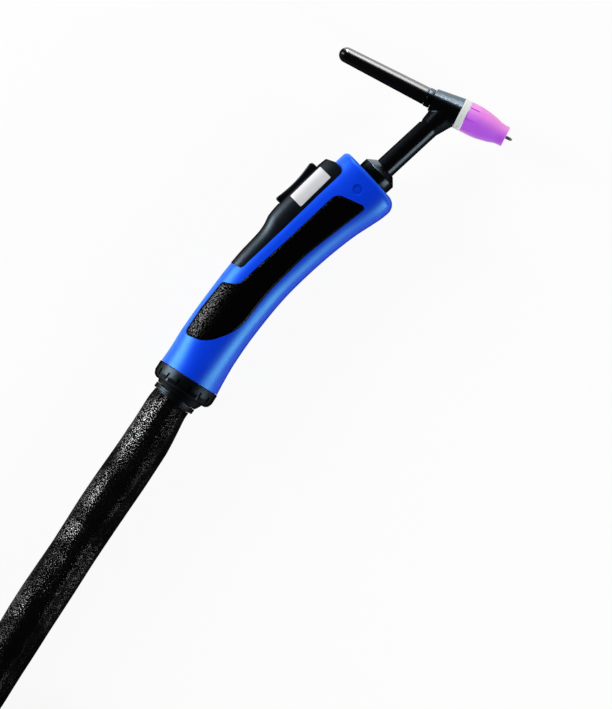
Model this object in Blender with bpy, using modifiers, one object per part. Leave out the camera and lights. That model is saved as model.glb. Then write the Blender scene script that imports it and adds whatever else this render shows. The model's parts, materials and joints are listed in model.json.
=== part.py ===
"""TIG welding torch with a curved grip and a ball joint, lying on its side with its hose coiled behind it.

Torch plane: x runs from the handle's rear face to its front, y towards the back cap and the switch, and z is
the sideways direction, up while the torch lies on its side. Every size is in metres.
"""

import math

import bmesh
import bpy
from mathutils import Matrix, Vector

# ---------------------------------------------------------------- placing and clearances
FRAME_CENTRE_X = 0.1300  # middle of the torch's length, from the handle's rear face
FRAME_CENTRE_Y = 0.0111  # middle of the torch's height across the cap and the electrode
GAP = 0.0003  # between pieces that touch
CUT_PAST = 0.004  # how far a cutter runs past the wall that it opens
ROUND_STEPS = 32  # sides of a large round piece
SMALL_STEPS = 16  # sides of a slim round piece

# ---------------------------------------------------------------- handle
HANDLE_LENGTH = 0.1891
REAR_TILT = 10.0  # degrees between the rear face's normal and x
FRONT_TILT = -4.8  # degrees, also the neck's slope
WALL = 0.0030
FRONT_WALL = 0.0030
FRONT_FILLET = 0.0035
CHIN_FILLET = 0.0085  # the front face's lower edge is rounder than the rest
RING_POINTS = 32
RING_COUNT = 17
# share of the length, height of the widest line, half height, half width, squareness (2 is an ellipse)
GRIP_STATIONS = (
    (0.000, 0.0000, 0.0229, 0.0229, 2.0),
    (0.053, 0.0019, 0.0223, 0.0219, 2.1),
    (0.132, 0.0049, 0.0221, 0.0207, 2.3),
    (0.264, 0.0081, 0.0220, 0.0196, 2.5),
    (0.449, 0.0104, 0.0224, 0.0190, 2.7),
    (0.635, 0.0084, 0.0225, 0.0191, 2.9),
    (0.793, 0.0052, 0.0236, 0.0196, 3.0),
    (0.925, 0.0012, 0.0256, 0.0203, 3.0),
    (1.000, -0.0002, 0.0258, 0.0206, 3.0),
)

INLAY_DEPTH = 0.0016
INLAY_PROUD = 0.0002
# corners of the inlay's outline: share of the handle's length, y and corner radius
INLAY_CORNERS = (
    (0.1045, 0.0235, 0.0035),
    (0.2247, 0.0269, 0.0800),
    (0.3440, 0.0282, 0.0032),
    (0.3750, 0.0184, 0.0090),
    (0.6346, 0.0142, 0.2000),
    (0.8683, 0.0109, 0.0080),
    (0.9075, -0.0118, 0.0026),
    (0.6240, -0.0025, 0.1200),
    (0.4230, -0.0006, 0.1500),
    (0.2510, -0.0037, 0.0350),
    (0.1364, 0.0080, 0.0400),
)

MARK_BEHIND_FRONT = 0.0129
MARK_Y = 0.0019
MARK_RADIUS = 0.0041
MARK_DEPTH = 0.0005

FRONT_SCREW_BEHIND_FRONT = 0.0121
FRONT_SCREW_Y = -0.0140
REAR_SCREW_FROM_REAR = 0.0200
REAR_SCREW_Y = -0.0090
SCREW_RADIUS = 0.0013
SCREW_HEAD_RADIUS = 0.0027
SCREW_HEAD_HEIGHT = 0.0020
SCREW_HEAD_SUNK = 0.0009
SCREW_REACH = 0.0080  # past the split, into the other shell
BOSS_RADIUS = 0.0032

# ---------------------------------------------------------------- switch module
# the side outline of the module's seat in the handle: share of the handle's length, y and corner radius
SEAT_CORNERS = (
    (0.4167, 0.0450, 0.0),
    (0.4178, 0.0310, 0.0080),
    (0.4294, 0.0244, 0.0040),
    (0.6610, 0.0212, 0.2500),
    (0.9476, 0.0178, 0.0050),
    (0.9519, 0.0262, 0.0030),
    (0.9371, 0.0330, 0.0030),
    (0.9254, 0.0450, 0.0),
)
# the module's upper side: share of the handle's length and height
MODULE_TOP = (
    (0.4019, 0.0326),
    (0.4759, 0.0332),
    (0.5711, 0.0330),
    (0.6081, 0.0339),
    (0.6425, 0.0358),
    (0.7033, 0.0362),
    (0.8461, 0.0348),
    (0.9096, 0.0334),
    (0.9387, 0.0318),
    (0.9625, 0.0270),
)
MODULE_SQUARENESS = 4.2
MODULE_RINGS = 18
POCKET_FLOOR = 0.0240
POCKET_MARGIN = 0.0009
ROCKER_BEHIND_FRONT = 0.0201
ROCKER_LENGTH = 0.0362
ROCKER_WIDTH = 0.0166
ROCKER_BASE = 0.0300
ROCKER_REAR_TOP = 0.0402
ROCKER_MIDDLE_TOP = 0.0380
ROCKER_FRONT_TOP = 0.0393
ROCKER_EDGE = 0.0012
PIN_RADIUS = 0.0012
PIN_HEIGHT = 0.0330
PIN_INTO_WALL = 0.0025
BOARD_THICKNESS = 0.0016
BOARD_END_GAP = 0.0016  # between the board's end and the rocker's
BOARD_SIDE_GAP = 0.0008
SWITCH_SIDE = 0.0060
SWITCH_FROM_END = 0.0071  # between a micro switch's middle and the rocker's end
ROCKER_TRAVEL = 0.0010  # room between a micro switch and the rocker above it

# ---------------------------------------------------------------- neck and head
NECK_START_Y = -0.0011
NECK_REACH = 0.0733  # from the handle's front face to the head's axis
NECK_RADIUS = 0.00755
NECK_INSIDE = 0.0140  # the moulding's length behind the front face
HEAD_ANGLE = 70.0  # degrees between the neck and the head's axis
COLLAR_RADIUS = 0.0136
COLLAR_LENGTH = 0.0065
COLLAR_CONE = 0.0047
COLLAR_WAIST = 0.0120
COLLAR_FLANGE = 0.0150
FLANGE_THICKNESS = 0.0030
GUSSET_START = 0.0520  # along the neck, from the front face
GUSSET_END = 0.0685
GUSSET_LOW = 0.0112
GUSSET_HIGH = 0.0098
GUSSET_HALF_WIDTH = 0.0088

HEAD_REAR = 0.0136  # from the neck's axis back to the head's rear face, along the head's axis
HEAD_FRONT = 0.0072
HEAD_REAR_RADIUS = 0.0082
HEAD_FRONT_RADIUS = 0.0111
TORCH_BODY_RADIUS = 0.0062
TORCH_BODY_BORE = 0.0046
NECK_TUBE_RADIUS = 0.0045
NECK_TUBE_BORE = 0.0030
NECK_TUBE_INSIDE = 0.0160
REAR_RING_RADIUS = 0.00695
REAR_RING_LENGTH = 0.0042

CAP_LENGTH = 0.0683
CAP_BASE_RADIUS = 0.0065
CAP_TIP_RADIUS = 0.0055
CAP_BORE = 0.0023
CAP_WALL_AT_TIP = 0.0034
CAP_THREAD_RADIUS = 0.0043
CAP_THREAD_IN_HEAD = 0.0053
SEAL_RADIUS = 0.0006

INSULATOR_RADIUS = 0.0113
INSULATOR_LENGTH = 0.0049
INSULATOR_BORE = 0.0050
NOZZLE_LENGTH = 0.0311
NOZZLE_RADIUS = 0.0112
NOZZLE_EXIT_RADIUS = 0.0074
NOZZLE_WALL = 0.0020
NOZZLE_THREAD_LENGTH = 0.0070
NOZZLE_THREAD_BORE = 0.0078
COLLET_BODY_FLANGE = 0.0075
COLLET_BODY_RADIUS = 0.0042
COLLET_BODY_TIP = 0.0310
COLLET_BODY_TIP_RADIUS = 0.0030
COLLET_RADIUS = 0.0021
COLLET_REAR = 0.0078
ELECTRODE_RADIUS = 0.0012
ELECTRODE_STICKS_OUT = 0.0050
ELECTRODE_TIP = 0.0034  # length of the ground tip
ELECTRODE_TO_CAP_END = 0.0030

# ---------------------------------------------------------------- inside the handle
CONNECTOR_RADIUS = 0.0070
CONNECTOR_LENGTH = 0.0120
FERRULE_LENGTH = 0.0140
FERRULE_WALL = 0.0012
INNER_HOSE_RADIUS = 0.0063
CONTROL_LEAD_RADIUS = 0.0016
CONTROL_LEAD_BEHIND_PIN = 0.0330
CONTROL_LEAD_ABOVE_MIDDLE = 0.0077
INNER_HOSE_BELOW_MIDDLE = 0.0027

# ---------------------------------------------------------------- rear nut and ball joint
NUT_RADIUS = 0.0234
NUT_LENGTH = 0.0120
NUT_REAR_RADIUS = 0.0200
NUT_ROUNDING = 0.0045
NUT_WALL = 0.0019
NUT_LIP = 0.0030
NUT_NOTCHES = 16
NUT_NOTCH_WIDTH = 0.0017
NUT_NOTCH_DEPTH = 0.0011
NUT_NOTCH_LENGTH = 0.0075
SPIGOT_LENGTH = 0.0070
SPIGOT_WALL = 0.0017
SPIGOT_ROOT = 0.0040  # how far the spigot starts inside the handle
BALL_RADIUS = 0.0190
BALL_BEHIND_FACE = 0.0055
BALL_CLEARANCE = 0.0004
BALL_FRONT = 0.0140  # from the ball's centre to its flat front
BALL_TAIL = 0.0145  # from the ball's centre to the tail's end
BALL_TAIL_RADIUS = 0.0120
BALL_BORE = 0.0083
BALL_SWING = 4.5  # degrees between the tail and x, as the torch lies
SEAT_LENGTH = 0.0065
SEAT_TO_BALL_CENTRE = 0.0085
SEAT_RADIUS = 0.0186
CLAMP_START = 0.0105
CLAMP_LENGTH = 0.0037
CLAMP_RADIUS = 0.0165
INNER_HOSE_TO_BALL = 0.0175

# ---------------------------------------------------------------- hose
SLEEVE_START_RADIUS = 0.0148
SLEEVE_RADIUS = 0.0169
HOSE_RADIUS = 0.0080
CUFF_LENGTH = 0.0300
CUFF_RADIUS = 0.0178
CUFF_END_RADIUS = 0.0100
CUFF_ANGLE = 6.6  # degrees, where the sleeve ends
CUFF_HEIGHT = 0.0180
# the leather sleeve's middle line, x, y and height above the bench
SLEEVE_ROUTE = (
    (-0.0202, -0.0021, 0.0234),
    (-0.0300, -0.0034, 0.0233),
    (-0.0500, -0.0078, 0.0224),
    (-0.0750, -0.0118, 0.0204),
    (-0.1000, -0.0154, 0.0186),
    (-0.1250, -0.0192, 0.0176),
    (-0.1500, -0.0232, 0.0172),
    (-0.1750, -0.0273, 0.0171),
    (-0.2000, -0.0316, 0.0171),
    (-0.2150, -0.0344, 0.0171),
    (-0.2500, -0.0405, 0.0171),
    (-0.2900, -0.0475, 0.0171),
    (-0.3300, -0.0550, 0.0171),
    (-0.3675, -0.0661, 0.0171),
    (-0.4009, -0.0866, 0.0171),
    (-0.4279, -0.1150, 0.0171),
    (-0.4466, -0.1494, 0.0171),
    (-0.4557, -0.1875, 0.0171),
    (-0.4547, -0.2266, 0.0171),
    (-0.4436, -0.2642, 0.0171),
    (-0.4231, -0.2976, 0.0172),
    (-0.3947, -0.3245, 0.0174),
    (-0.3603, -0.3432, 0.0177),
    (-0.3222, -0.3523, 0.0180),
    (-0.2893, -0.3522, 0.0180),
)
# the slim hose between the sleeve's cuff and the coil; its ends are worked out from what they meet
LEAD_IN_ROUTE = (
    (-0.2230, -0.3330, 0.0150),
    (-0.2050, -0.3090, 0.0120),
    (-0.1920, -0.2790, 0.0098),
    (-0.1850, -0.2480, 0.0088),
    (-0.1850, -0.2160, 0.0086),
)
# the slim hose from the coil's end up to the plug, which lies on the turns
LEAD_OUT_ROUTE = (
    (-0.2390, -0.1165, 0.0290),
    (-0.2650, -0.1018, 0.0332),
    (-0.2960, -0.0952, 0.0372),
    (-0.3270, -0.0972, 0.0408),
    (-0.3550, -0.1080, 0.0440),
    (-0.3790, -0.1262, 0.0466),
    (-0.3930, -0.1460, 0.0482),
)
TUBE_POINT_SPACING = 0.0200

COIL_CENTRE_X = -0.3065
COIL_CENTRE_Y = -0.2032
COIL_MEAN_RADIUS = 0.0880
COIL_PITCH = 0.0169
COIL_TURNS_A_LAYER = 2.5
COIL_LAYERS = 2
COIL_START_ANGLE = 25.0
COIL_POINTS_A_TURN = 24

# ---------------------------------------------------------------- machine plug
PLUG_X = -0.4032
PLUG_Y = -0.1826
PLUG_ANGLE = 285.0
PLUG_HEIGHT = 0.0490
BOOT_LENGTH = 0.0300
BOOT_RADIUS = 0.0110
BOOT_MOUTH_RADIUS = 0.0092
PLUG_BODY_LENGTH = 0.0300
PLUG_BODY_RADIUS = 0.0130
UNION_LENGTH = 0.0180
UNION_RADIUS = 0.0150
UNION_WALL = 0.0018
UNION_GROOVES = 12
UNION_GROOVE_WIDTH = 0.0016
INSERT_RADIUS = 0.0110
INSERT_LENGTH = 0.0160
POWER_PIN_RADIUS = 0.0042
POWER_PIN_LENGTH = 0.0110
POWER_PIN_BORE = 0.0021

PARTS = "tig_torch"
CUTTERS = "tig_torch_cutters"


# ---------------------------------------------------------------- scene, materials and small helpers
def clear_scene():
    for obj in list(bpy.data.objects):
        bpy.data.objects.remove(obj, do_unlink=True)


def collection(name):
    made = bpy.data.collections.new(name)
    bpy.context.scene.collection.children.link(made)
    return made


def material(name, color, roughness, metallic=0.0):
    made = bpy.data.materials.new(name)
    made.use_nodes = True
    shader = made.node_tree.nodes["Principled BSDF"]
    shader.inputs["Base Color"].default_value = (*color, 1.0)
    shader.inputs["Roughness"].default_value = roughness
    shader.inputs["Metallic"].default_value = metallic
    made.diffuse_color = (*color, 1.0)
    return made


def make_materials():
    return {
        "blue_plastic": material("blue_plastic", (0.010, 0.075, 0.760), 0.32),
        "black_plastic": material("black_plastic", (0.012, 0.012, 0.014), 0.35),
        "grip_rubber": material("grip_rubber", (0.020, 0.020, 0.022), 0.70),
        "moulding": material("moulding", (0.008, 0.008, 0.010), 0.30),
        "ceramic": material("ceramic", (0.560, 0.200, 0.780), 0.45),
        "ptfe": material("ptfe", (0.900, 0.900, 0.900), 0.45),
        "tungsten": material("tungsten", (0.230, 0.230, 0.240), 0.40, 1.0),
        "brass": material("brass", (0.680, 0.480, 0.200), 0.30, 1.0),
        "copper": material("copper", (0.720, 0.360, 0.220), 0.30, 1.0),
        "steel": material("steel", (0.550, 0.550, 0.560), 0.30, 1.0),
        "board": material("board", (0.030, 0.170, 0.070), 0.50),
        "seal_rubber": material("seal_rubber", (0.150, 0.030, 0.020), 0.60),
        "leather": material("leather", (0.018, 0.018, 0.019), 0.55),
        "hose_rubber": material("hose_rubber", (0.022, 0.022, 0.024), 0.60),
    }


def torch_point(x, y, z=0.0):
    """A point of the torch plane in the shared frame: the nut rests on the bench."""
    return Vector((x - FRAME_CENTRE_X, y - FRAME_CENTRE_Y, z + NUT_RADIUS))


def bench_point(x, y, height):
    """A point of the hose's route, given by its height above the bench."""
    return Vector((x - FRAME_CENTRE_X, y - FRAME_CENTRE_Y, height))


def axis_empty(name, point, degrees):
    """An empty whose Z runs along a direction of the torch plane and whose X points up from the bench."""
    along = Vector((math.cos(math.radians(degrees)), math.sin(math.radians(degrees)), 0.0))
    up = Vector((0.0, 0.0, 1.0))
    empty = bpy.data.objects.new(name, None)
    empty.empty_display_size = 0.01
    turn = Matrix((up, along.cross(up), along)).transposed().to_4x4()
    empty.matrix_world = Matrix.Translation(point) @ turn
    PARTS_COLLECTION.objects.link(empty)
    return empty


def add(name, mesh, finish=None, parent=None):
    """Links an object to the torch, or, with no finish, to the cutters."""
    obj = bpy.data.objects.new(name, mesh)
    if finish:
        PARTS_COLLECTION.objects.link(obj)
        mesh.materials.append(MATERIALS[finish])
    else:
        CUTTERS_COLLECTION.objects.link(obj)
        obj.hide_render = True
        obj.display_type = "WIRE"
    obj.parent = parent
    return obj


def boolean(obj, operation, other):
    modifier = obj.modifiers.new(f"{operation.title()} {other.name}", "BOOLEAN")
    modifier.operation = operation
    modifier.solver = "EXACT"
    modifier.object = other
    return obj


def cut(obj, *cutters):
    for cutter in cutters:
        boolean(obj, "DIFFERENCE", cutter)
    return obj


def join(obj, *others):
    for other in others:
        boolean(obj, "UNION", other)
    return obj


def keep_inside(obj, *others):
    for other in others:
        boolean(obj, "INTERSECT", other)
    return obj


def shade(obj, degrees=35.0):
    obj.data.shade_smooth()
    obj.data.set_sharp_from_angle(angle=math.radians(degrees))
    return obj


def turned(name, profile, finish=None, parent=None, steps=ROUND_STEPS, closed=False):
    """A solid of revolution about Z: profile holds (along, radius) points. A closed profile makes a ring."""
    area = sum(
        b[1] * a[0] - a[1] * b[0] for a, b in zip(profile, profile[1:] + profile[:1])
    )
    ordered = profile if area > 0 else profile[::-1]
    points = [(radius, 0.0, along) for along, radius in ordered]
    edges = [(i, i + 1) for i in range(len(points) - 1)]
    if closed:
        edges.append((len(points) - 1, 0))
    mesh = bpy.data.meshes.new(name)
    mesh.from_pydata(points, edges, [])
    obj = add(name, mesh, finish, parent)
    screw = obj.modifiers.new("Turn", "SCREW")
    screw.axis = "Z"
    screw.steps = steps
    screw.render_steps = steps
    screw.use_merge_vertices = True
    screw.merge_threshold = 0.00001
    return obj


def ring(name, start, end, outer, inner, finish=None, parent=None, steps=ROUND_STEPS):
    """A plain tube about Z from start to end."""
    profile = [(start, outer), (end, outer), (end, inner), (start, inner)]
    return turned(name, profile, finish, parent, steps, closed=True)


def rod(name, start, end, radius, finish=None, parent=None, steps=ROUND_STEPS):
    """A plain cylinder about Z from start to end."""
    profile = [(start, 0.0), (start, radius), (end, radius), (end, 0.0)]
    return turned(name, profile, finish, parent, steps)


def block(name, low, high, finish=None, parent=None, edge=0.0):
    """A box between two corners, with its edges rounded by edge."""
    mesh = bpy.data.meshes.new(name)
    shape = bmesh.new()
    bmesh.ops.create_cube(shape, size=1.0)
    low, high = Vector(low), Vector(high)
    size = high - low
    bmesh.ops.scale(shape, vec=size, verts=shape.verts)
    bmesh.ops.translate(shape, vec=(low + high) / 2, verts=shape.verts)
    if edge:
        bmesh.ops.bevel(shape, geom=list(shape.edges), offset=edge, segments=2, profile=0.5, affect="EDGES")
    shape.to_mesh(mesh)
    shape.free()
    return add(name, mesh, finish, parent)


def rounded(corners, step_degrees=15.0):
    """A closed outline through corners of (x, y, radius), with an arc at each corner that has a radius."""
    outline = []
    count = len(corners)
    for i, (x, y, radius) in enumerate(corners):
        here = Vector((x, y))
        back = Vector(corners[i - 1][:2]) - here
        ahead = Vector(corners[(i + 1) % count][:2]) - here
        half = back.angle(ahead) / 2
        if radius <= 0.0 or half > math.radians(89.5):
            outline.append(here)
            continue
        reach = min(radius / math.tan(half), 0.47 * back.length, 0.47 * ahead.length)
        used = reach * math.tan(half)
        middle = here + (back.normalized() + ahead.normalized()).normalized() * (used / math.sin(half))
        start = here + back.normalized() * reach - middle
        sweep = start.angle_signed(here + ahead.normalized() * reach - middle)
        steps = max(2, math.ceil(abs(math.degrees(sweep)) / step_degrees))
        for k in range(steps + 1):
            turn = Matrix.Rotation(-sweep * k / steps, 2)
            outline.append(middle + turn @ start)
    return outline


def shrunk(outline, amount):
    """The outline moved inwards by amount, or outwards where amount is negative."""
    count = len(outline)
    area = sum(outline[i - 1].x * outline[i].y - outline[i].x * outline[i - 1].y for i in range(count))
    side = 1.0 if area > 0 else -1.0
    moved = []
    for i, here in enumerate(outline):
        back = (here - outline[i - 1]).normalized()
        ahead = (outline[(i + 1) % count] - here).normalized()
        tangent = (back + ahead).normalized()
        inward = Vector((-tangent.y, tangent.x)) * side
        stretch = max(0.5, tangent.dot(ahead))
        moved.append(here + inward * amount / stretch)
    return moved


def prism(name, outline, low, high, finish=None, parent=None):
    """A flat outline of the torch plane, as thick sideways as low to high."""
    curve = bpy.data.curves.new(name, "CURVE")
    curve.dimensions = "2D"
    curve.fill_mode = "BOTH"
    curve.extrude = (high - low) / 2
    spline = curve.splines.new("POLY")
    spline.points.add(len(outline) - 1)
    for point, place in zip(spline.points, outline):
        point.co = (place[0], place[1], 0.0, 1.0)
    spline.use_cyclic_u = True
    middle = Vector((0.0, 0.0, (low + high) / 2))
    return solid_from_curve(name, curve, finish, parent, middle)


def solid_from_curve(name, curve, finish, parent, offset=Vector((0.0, 0.0, 0.0))):
    """A closed mesh made from a curve, so that it can be cut and joined."""
    source = bpy.data.objects.new(name + "_curve", curve)
    bpy.context.scene.collection.objects.link(source)
    bpy.context.view_layer.update()
    evaluated = source.evaluated_get(bpy.context.evaluated_depsgraph_get())
    mesh = bpy.data.meshes.new_from_object(evaluated)
    bpy.data.objects.remove(source, do_unlink=True)
    bpy.data.curves.remove(curve)
    mesh.name = name
    shape = bmesh.new()
    shape.from_mesh(mesh)
    bmesh.ops.remove_doubles(shape, verts=shape.verts, dist=0.000005)
    bmesh.ops.translate(shape, vec=offset, verts=shape.verts)
    bmesh.ops.recalc_face_normals(shape, faces=shape.faces)
    shape.to_mesh(mesh)
    shape.free()
    return add(name, mesh, finish, parent)


def lofted(name, rings, finish=None, parent=None):
    """A closed body through rings of points, each with as many points as the next, capped at both ends."""
    mesh = bpy.data.meshes.new(name)
    shape = bmesh.new()
    rows = [[shape.verts.new(point) for point in ring_points] for ring_points in rings]
    count = len(rows[0])
    for row, following in zip(rows, rows[1:]):
        for i in range(count):
            j = (i + 1) % count
            shape.faces.new((row[i], row[j], following[j], following[i]))
    shape.faces.new(rows[0])
    shape.faces.new(rows[-1])
    bmesh.ops.recalc_face_normals(shape, faces=shape.faces)
    shape.to_mesh(mesh)
    shape.free()
    return add(name, mesh, finish, parent)


def smooth_route(points, spacing=TUBE_POINT_SPACING):
    """Points read off a smooth curve through the route's own points, about spacing apart."""
    smooth = []
    for i in range(len(points) - 1):
        p0 = points[max(i - 1, 0)]
        p1, p2 = points[i], points[i + 1]
        p3 = points[min(i + 2, len(points) - 1)]
        steps = max(1, round((p2 - p1).length / spacing))
        for k in range(steps):
            t = k / steps
            smooth.append(
                0.5
                * (
                    2 * p1
                    + (p2 - p0) * t
                    + (2 * p0 - 5 * p1 + 4 * p2 - p3) * t**2
                    + (3 * p1 - p0 - 3 * p2 + p3) * t**3
                )
            )
    smooth.append(points[-1])
    return smooth


def hose(name, points, radius, finish, resolution=2, radii=None):
    """A round tube along points, closed at both ends."""
    curve = bpy.data.curves.new(name, "CURVE")
    curve.dimensions = "3D"
    curve.bevel_depth = radius
    curve.bevel_resolution = resolution
    curve.use_fill_caps = True
    curve.twist_mode = "Z_UP"
    spline = curve.splines.new("POLY")
    spline.points.add(len(points) - 1)
    for i, place in enumerate(points):
        spline.points[i].co = (*place, 1.0)
        spline.points[i].radius = radii[i] if radii else 1.0
    obj = bpy.data.objects.new(name, curve)
    curve.materials.append(MATERIALS[finish])
    PARTS_COLLECTION.objects.link(obj)
    return obj


def route_length(points):
    return sum((b - a).length for a, b in zip(points, points[1:]))


# ---------------------------------------------------------------- handle
def between(rows, x):
    """The values of a table at x along the handle, eased by a cubic curve through its rows."""
    x = x / HANDLE_LENGTH
    last = len(rows) - 2
    i = max(0, min(last, sum(1 for row in rows if row[0] <= x) - 1))
    low, high = rows[i], rows[i + 1]
    before, after = rows[max(i - 1, 0)], rows[min(i + 2, len(rows) - 1)]
    width = high[0] - low[0]
    t = max(0.0, min(1.0, (x - low[0]) / width))
    values = []
    for column in range(1, len(low)):
        slope_low = (high[column] - before[column]) / (high[0] - before[0]) * width
        slope_high = (after[column] - low[column]) / (after[0] - low[0]) * width
        values.append(
            (2 * t**3 - 3 * t**2 + 1) * low[column]
            + (t**3 - 2 * t**2 + t) * slope_low
            + (3 * t**2 - 2 * t**3) * high[column]
            + (t**3 - t**2) * slope_high
        )
    return values


def drawn(corners):
    """An outline's corners with their shares turned into places along the handle."""
    return [(share * HANDLE_LENGTH, y, radius) for share, y, radius in corners]


def tilt_at(x):
    return math.radians(REAR_TILT + (FRONT_TILT - REAR_TILT) * x / HANDLE_LENGTH)


def section(x, inset, shift=0.0, top=None, squareness_top=None):
    """One ring of the handle's form at x, drawn in by inset. top gives the upper side another height."""
    middle, half_height, half_width, squareness = between(GRIP_STATIONS, x)
    tilt = tilt_at(x)
    across = Vector((-math.sin(tilt), math.cos(tilt), 0.0))
    centre = Vector((x, middle, 0.0)) + Vector((math.cos(tilt), math.sin(tilt), 0.0)) * shift
    ring_points = []
    for i in range(RING_POINTS):
        angle = math.tau * i / RING_POINTS
        rise, reach = math.sin(angle), math.cos(angle)
        height, power = half_height, squareness
        if top is not None and rise > 0:
            height, power = (top - middle) / math.cos(tilt), squareness_top
        high = math.copysign(abs(rise) ** (2 / power), rise) * (height - inset)
        wide = math.copysign(abs(reach) ** (2 / power), reach) * (half_width - inset)
        ring_points.append(centre + across * high + Vector((0.0, 0.0, wide)))
    return ring_points


def grip_form(name, inset, rear_shift=0.0, front_shift=0.0):
    """The handle's outer form, or a smaller one inside it, from the rear face to the front one."""
    front = HANDLE_LENGTH + front_shift
    rings = []
    if rear_shift:
        rings.append(section(0.0, inset, shift=-rear_shift))
    straight = front - CHIN_FILLET - GAP
    rings += [section(straight * i / RING_COUNT, inset) for i in range(RING_COUNT + 1)]
    for degrees in (0.0, 30.0, 60.0, 90.0):
        turn = math.radians(degrees)
        row = []
        for i in range(RING_POINTS):
            chin = max(0.0, -math.sin(math.tau * i / RING_POINTS)) ** 2
            fillet = max(GAP, FRONT_FILLET + (CHIN_FILLET - FRONT_FILLET) * chin - inset)
            x = front - fillet * (1 - math.sin(turn))
            row.append(section(x, inset + fillet * (1 - math.cos(turn)))[i])
        rings.append(row)
    return lofted(name, rings, parent=TORCH)


def half_width_at(x, y):
    """How far the handle's side stands out from the split at a point of its side view."""
    middle, half_height, half_width, squareness = between(GRIP_STATIONS, x)
    share = min(1.0, abs(y - middle) / half_height)
    return half_width * (1 - share**squareness) ** (1 / squareness)


def make_handle():
    """Two half shells split along the torch plane, with inlays let into both sides."""
    shell = grip_form("handle_form", 0.0)
    hollow = grip_form("handle_hollow", WALL, rear_shift=CUT_PAST, front_shift=-FRONT_WALL)
    sides = half_width_at(HANDLE_LENGTH / 2, 0.0) + CUT_PAST
    spigot_radius = NUT_RADIUS - NUT_WALL - GAP
    spigot = ring(
        "spigot_form", -SPIGOT_ROOT, SPIGOT_LENGTH, spigot_radius, spigot_radius - SPIGOT_WALL, parent=REAR
    )
    collar_hole = rod("collar_hole", -FRONT_WALL - CUT_PAST, CUT_PAST, COLLAR_WAIST + GAP, parent=NECK)
    seat_outline = rounded(drawn(SEAT_CORNERS))
    module_seat = prism("module_seat", seat_outline, -sides, sides, parent=TORCH)
    inlay_outline = rounded(drawn(INLAY_CORNERS))
    recess = prism("inlay_recess", inlay_outline, -sides, sides, parent=TORCH)
    cut(recess, grip_form("inlay_floor", INLAY_DEPTH))
    mark_x = HANDLE_LENGTH - MARK_BEHIND_FRONT
    mark_face = half_width_at(mark_x, MARK_Y)
    mark = rod("mark_recess", mark_face - MARK_DEPTH, mark_face + CUT_PAST, MARK_RADIUS, parent=TORCH)
    mark.location = (mark_x, MARK_Y, 0.0)
    screw_places = {
        "front": (HANDLE_LENGTH - FRONT_SCREW_BEHIND_FRONT, FRONT_SCREW_Y),
        "rear": (REAR_SCREW_FROM_REAR, REAR_SCREW_Y),
    }

    cut(shell, hollow)
    join(shell, spigot)
    for place, (x, y) in screw_places.items():
        face = half_width_at(x, y)
        boss = rod(f"boss_{place}", WALL / 2 - face, face - WALL / 2, BOSS_RADIUS, parent=TORCH, steps=SMALL_STEPS)
        boss.location = (x, y, 0.0)
        join(shell, boss)
    cut(shell, module_seat, recess, collar_hole, mark)
    for place, (x, y) in screw_places.items():
        make_screw(place, x, y, shell)

    length = HANDLE_LENGTH + 2 * SPIGOT_LENGTH
    for side, low, high in (("left", GAP / 2, sides), ("right", -sides, -GAP / 2)):
        half = block(
            f"handle_shell_{side}", (-length, -length, low), (2 * length, length, high), "blue_plastic", TORCH
        )
        keep_inside(half, shell)

        pad_outline = shrunk(inlay_outline, GAP)
        pad_low, pad_high = (WALL, sides) if side == "left" else (-sides, -WALL)
        pad = prism(f"grip_inlay_{side}", pad_outline, pad_low, pad_high, "grip_rubber", TORCH)
        keep_inside(pad, grip_form(f"inlay_top_{side}", -INLAY_PROUD))
        cut(pad, grip_form(f"inlay_under_{side}", INLAY_DEPTH - GAP))


def make_screw(place, x, y, shell):
    """A countersunk screw from the hidden side, and its stepped hole through the bosses."""
    face = -half_width_at(x, y)
    head_low = face + SCREW_HEAD_SUNK
    head_high = head_low + SCREW_HEAD_HEIGHT
    profile = [
        (head_low, 0.0),
        (head_low, SCREW_HEAD_RADIUS),
        (head_high, SCREW_RADIUS),
        (SCREW_REACH, SCREW_RADIUS),
        (SCREW_REACH, 0.0),
    ]
    screw = turned(f"handle_screw_{place}", profile, "steel", TORCH, SMALL_STEPS)
    hole_profile = [
        (face - CUT_PAST, 0.0),
        (face - CUT_PAST, SCREW_HEAD_RADIUS + GAP),
        (head_low, SCREW_HEAD_RADIUS + GAP),
        (head_high + GAP, SCREW_RADIUS + GAP),
        (SCREW_REACH + GAP, SCREW_RADIUS + GAP),
        (SCREW_REACH + GAP, 0.0),
    ]
    hole = turned(f"screw_hole_{place}", hole_profile, parent=TORCH, steps=SMALL_STEPS)
    screw.location = hole.location = (x, y, 0.0)
    cut(shell, hole)


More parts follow.
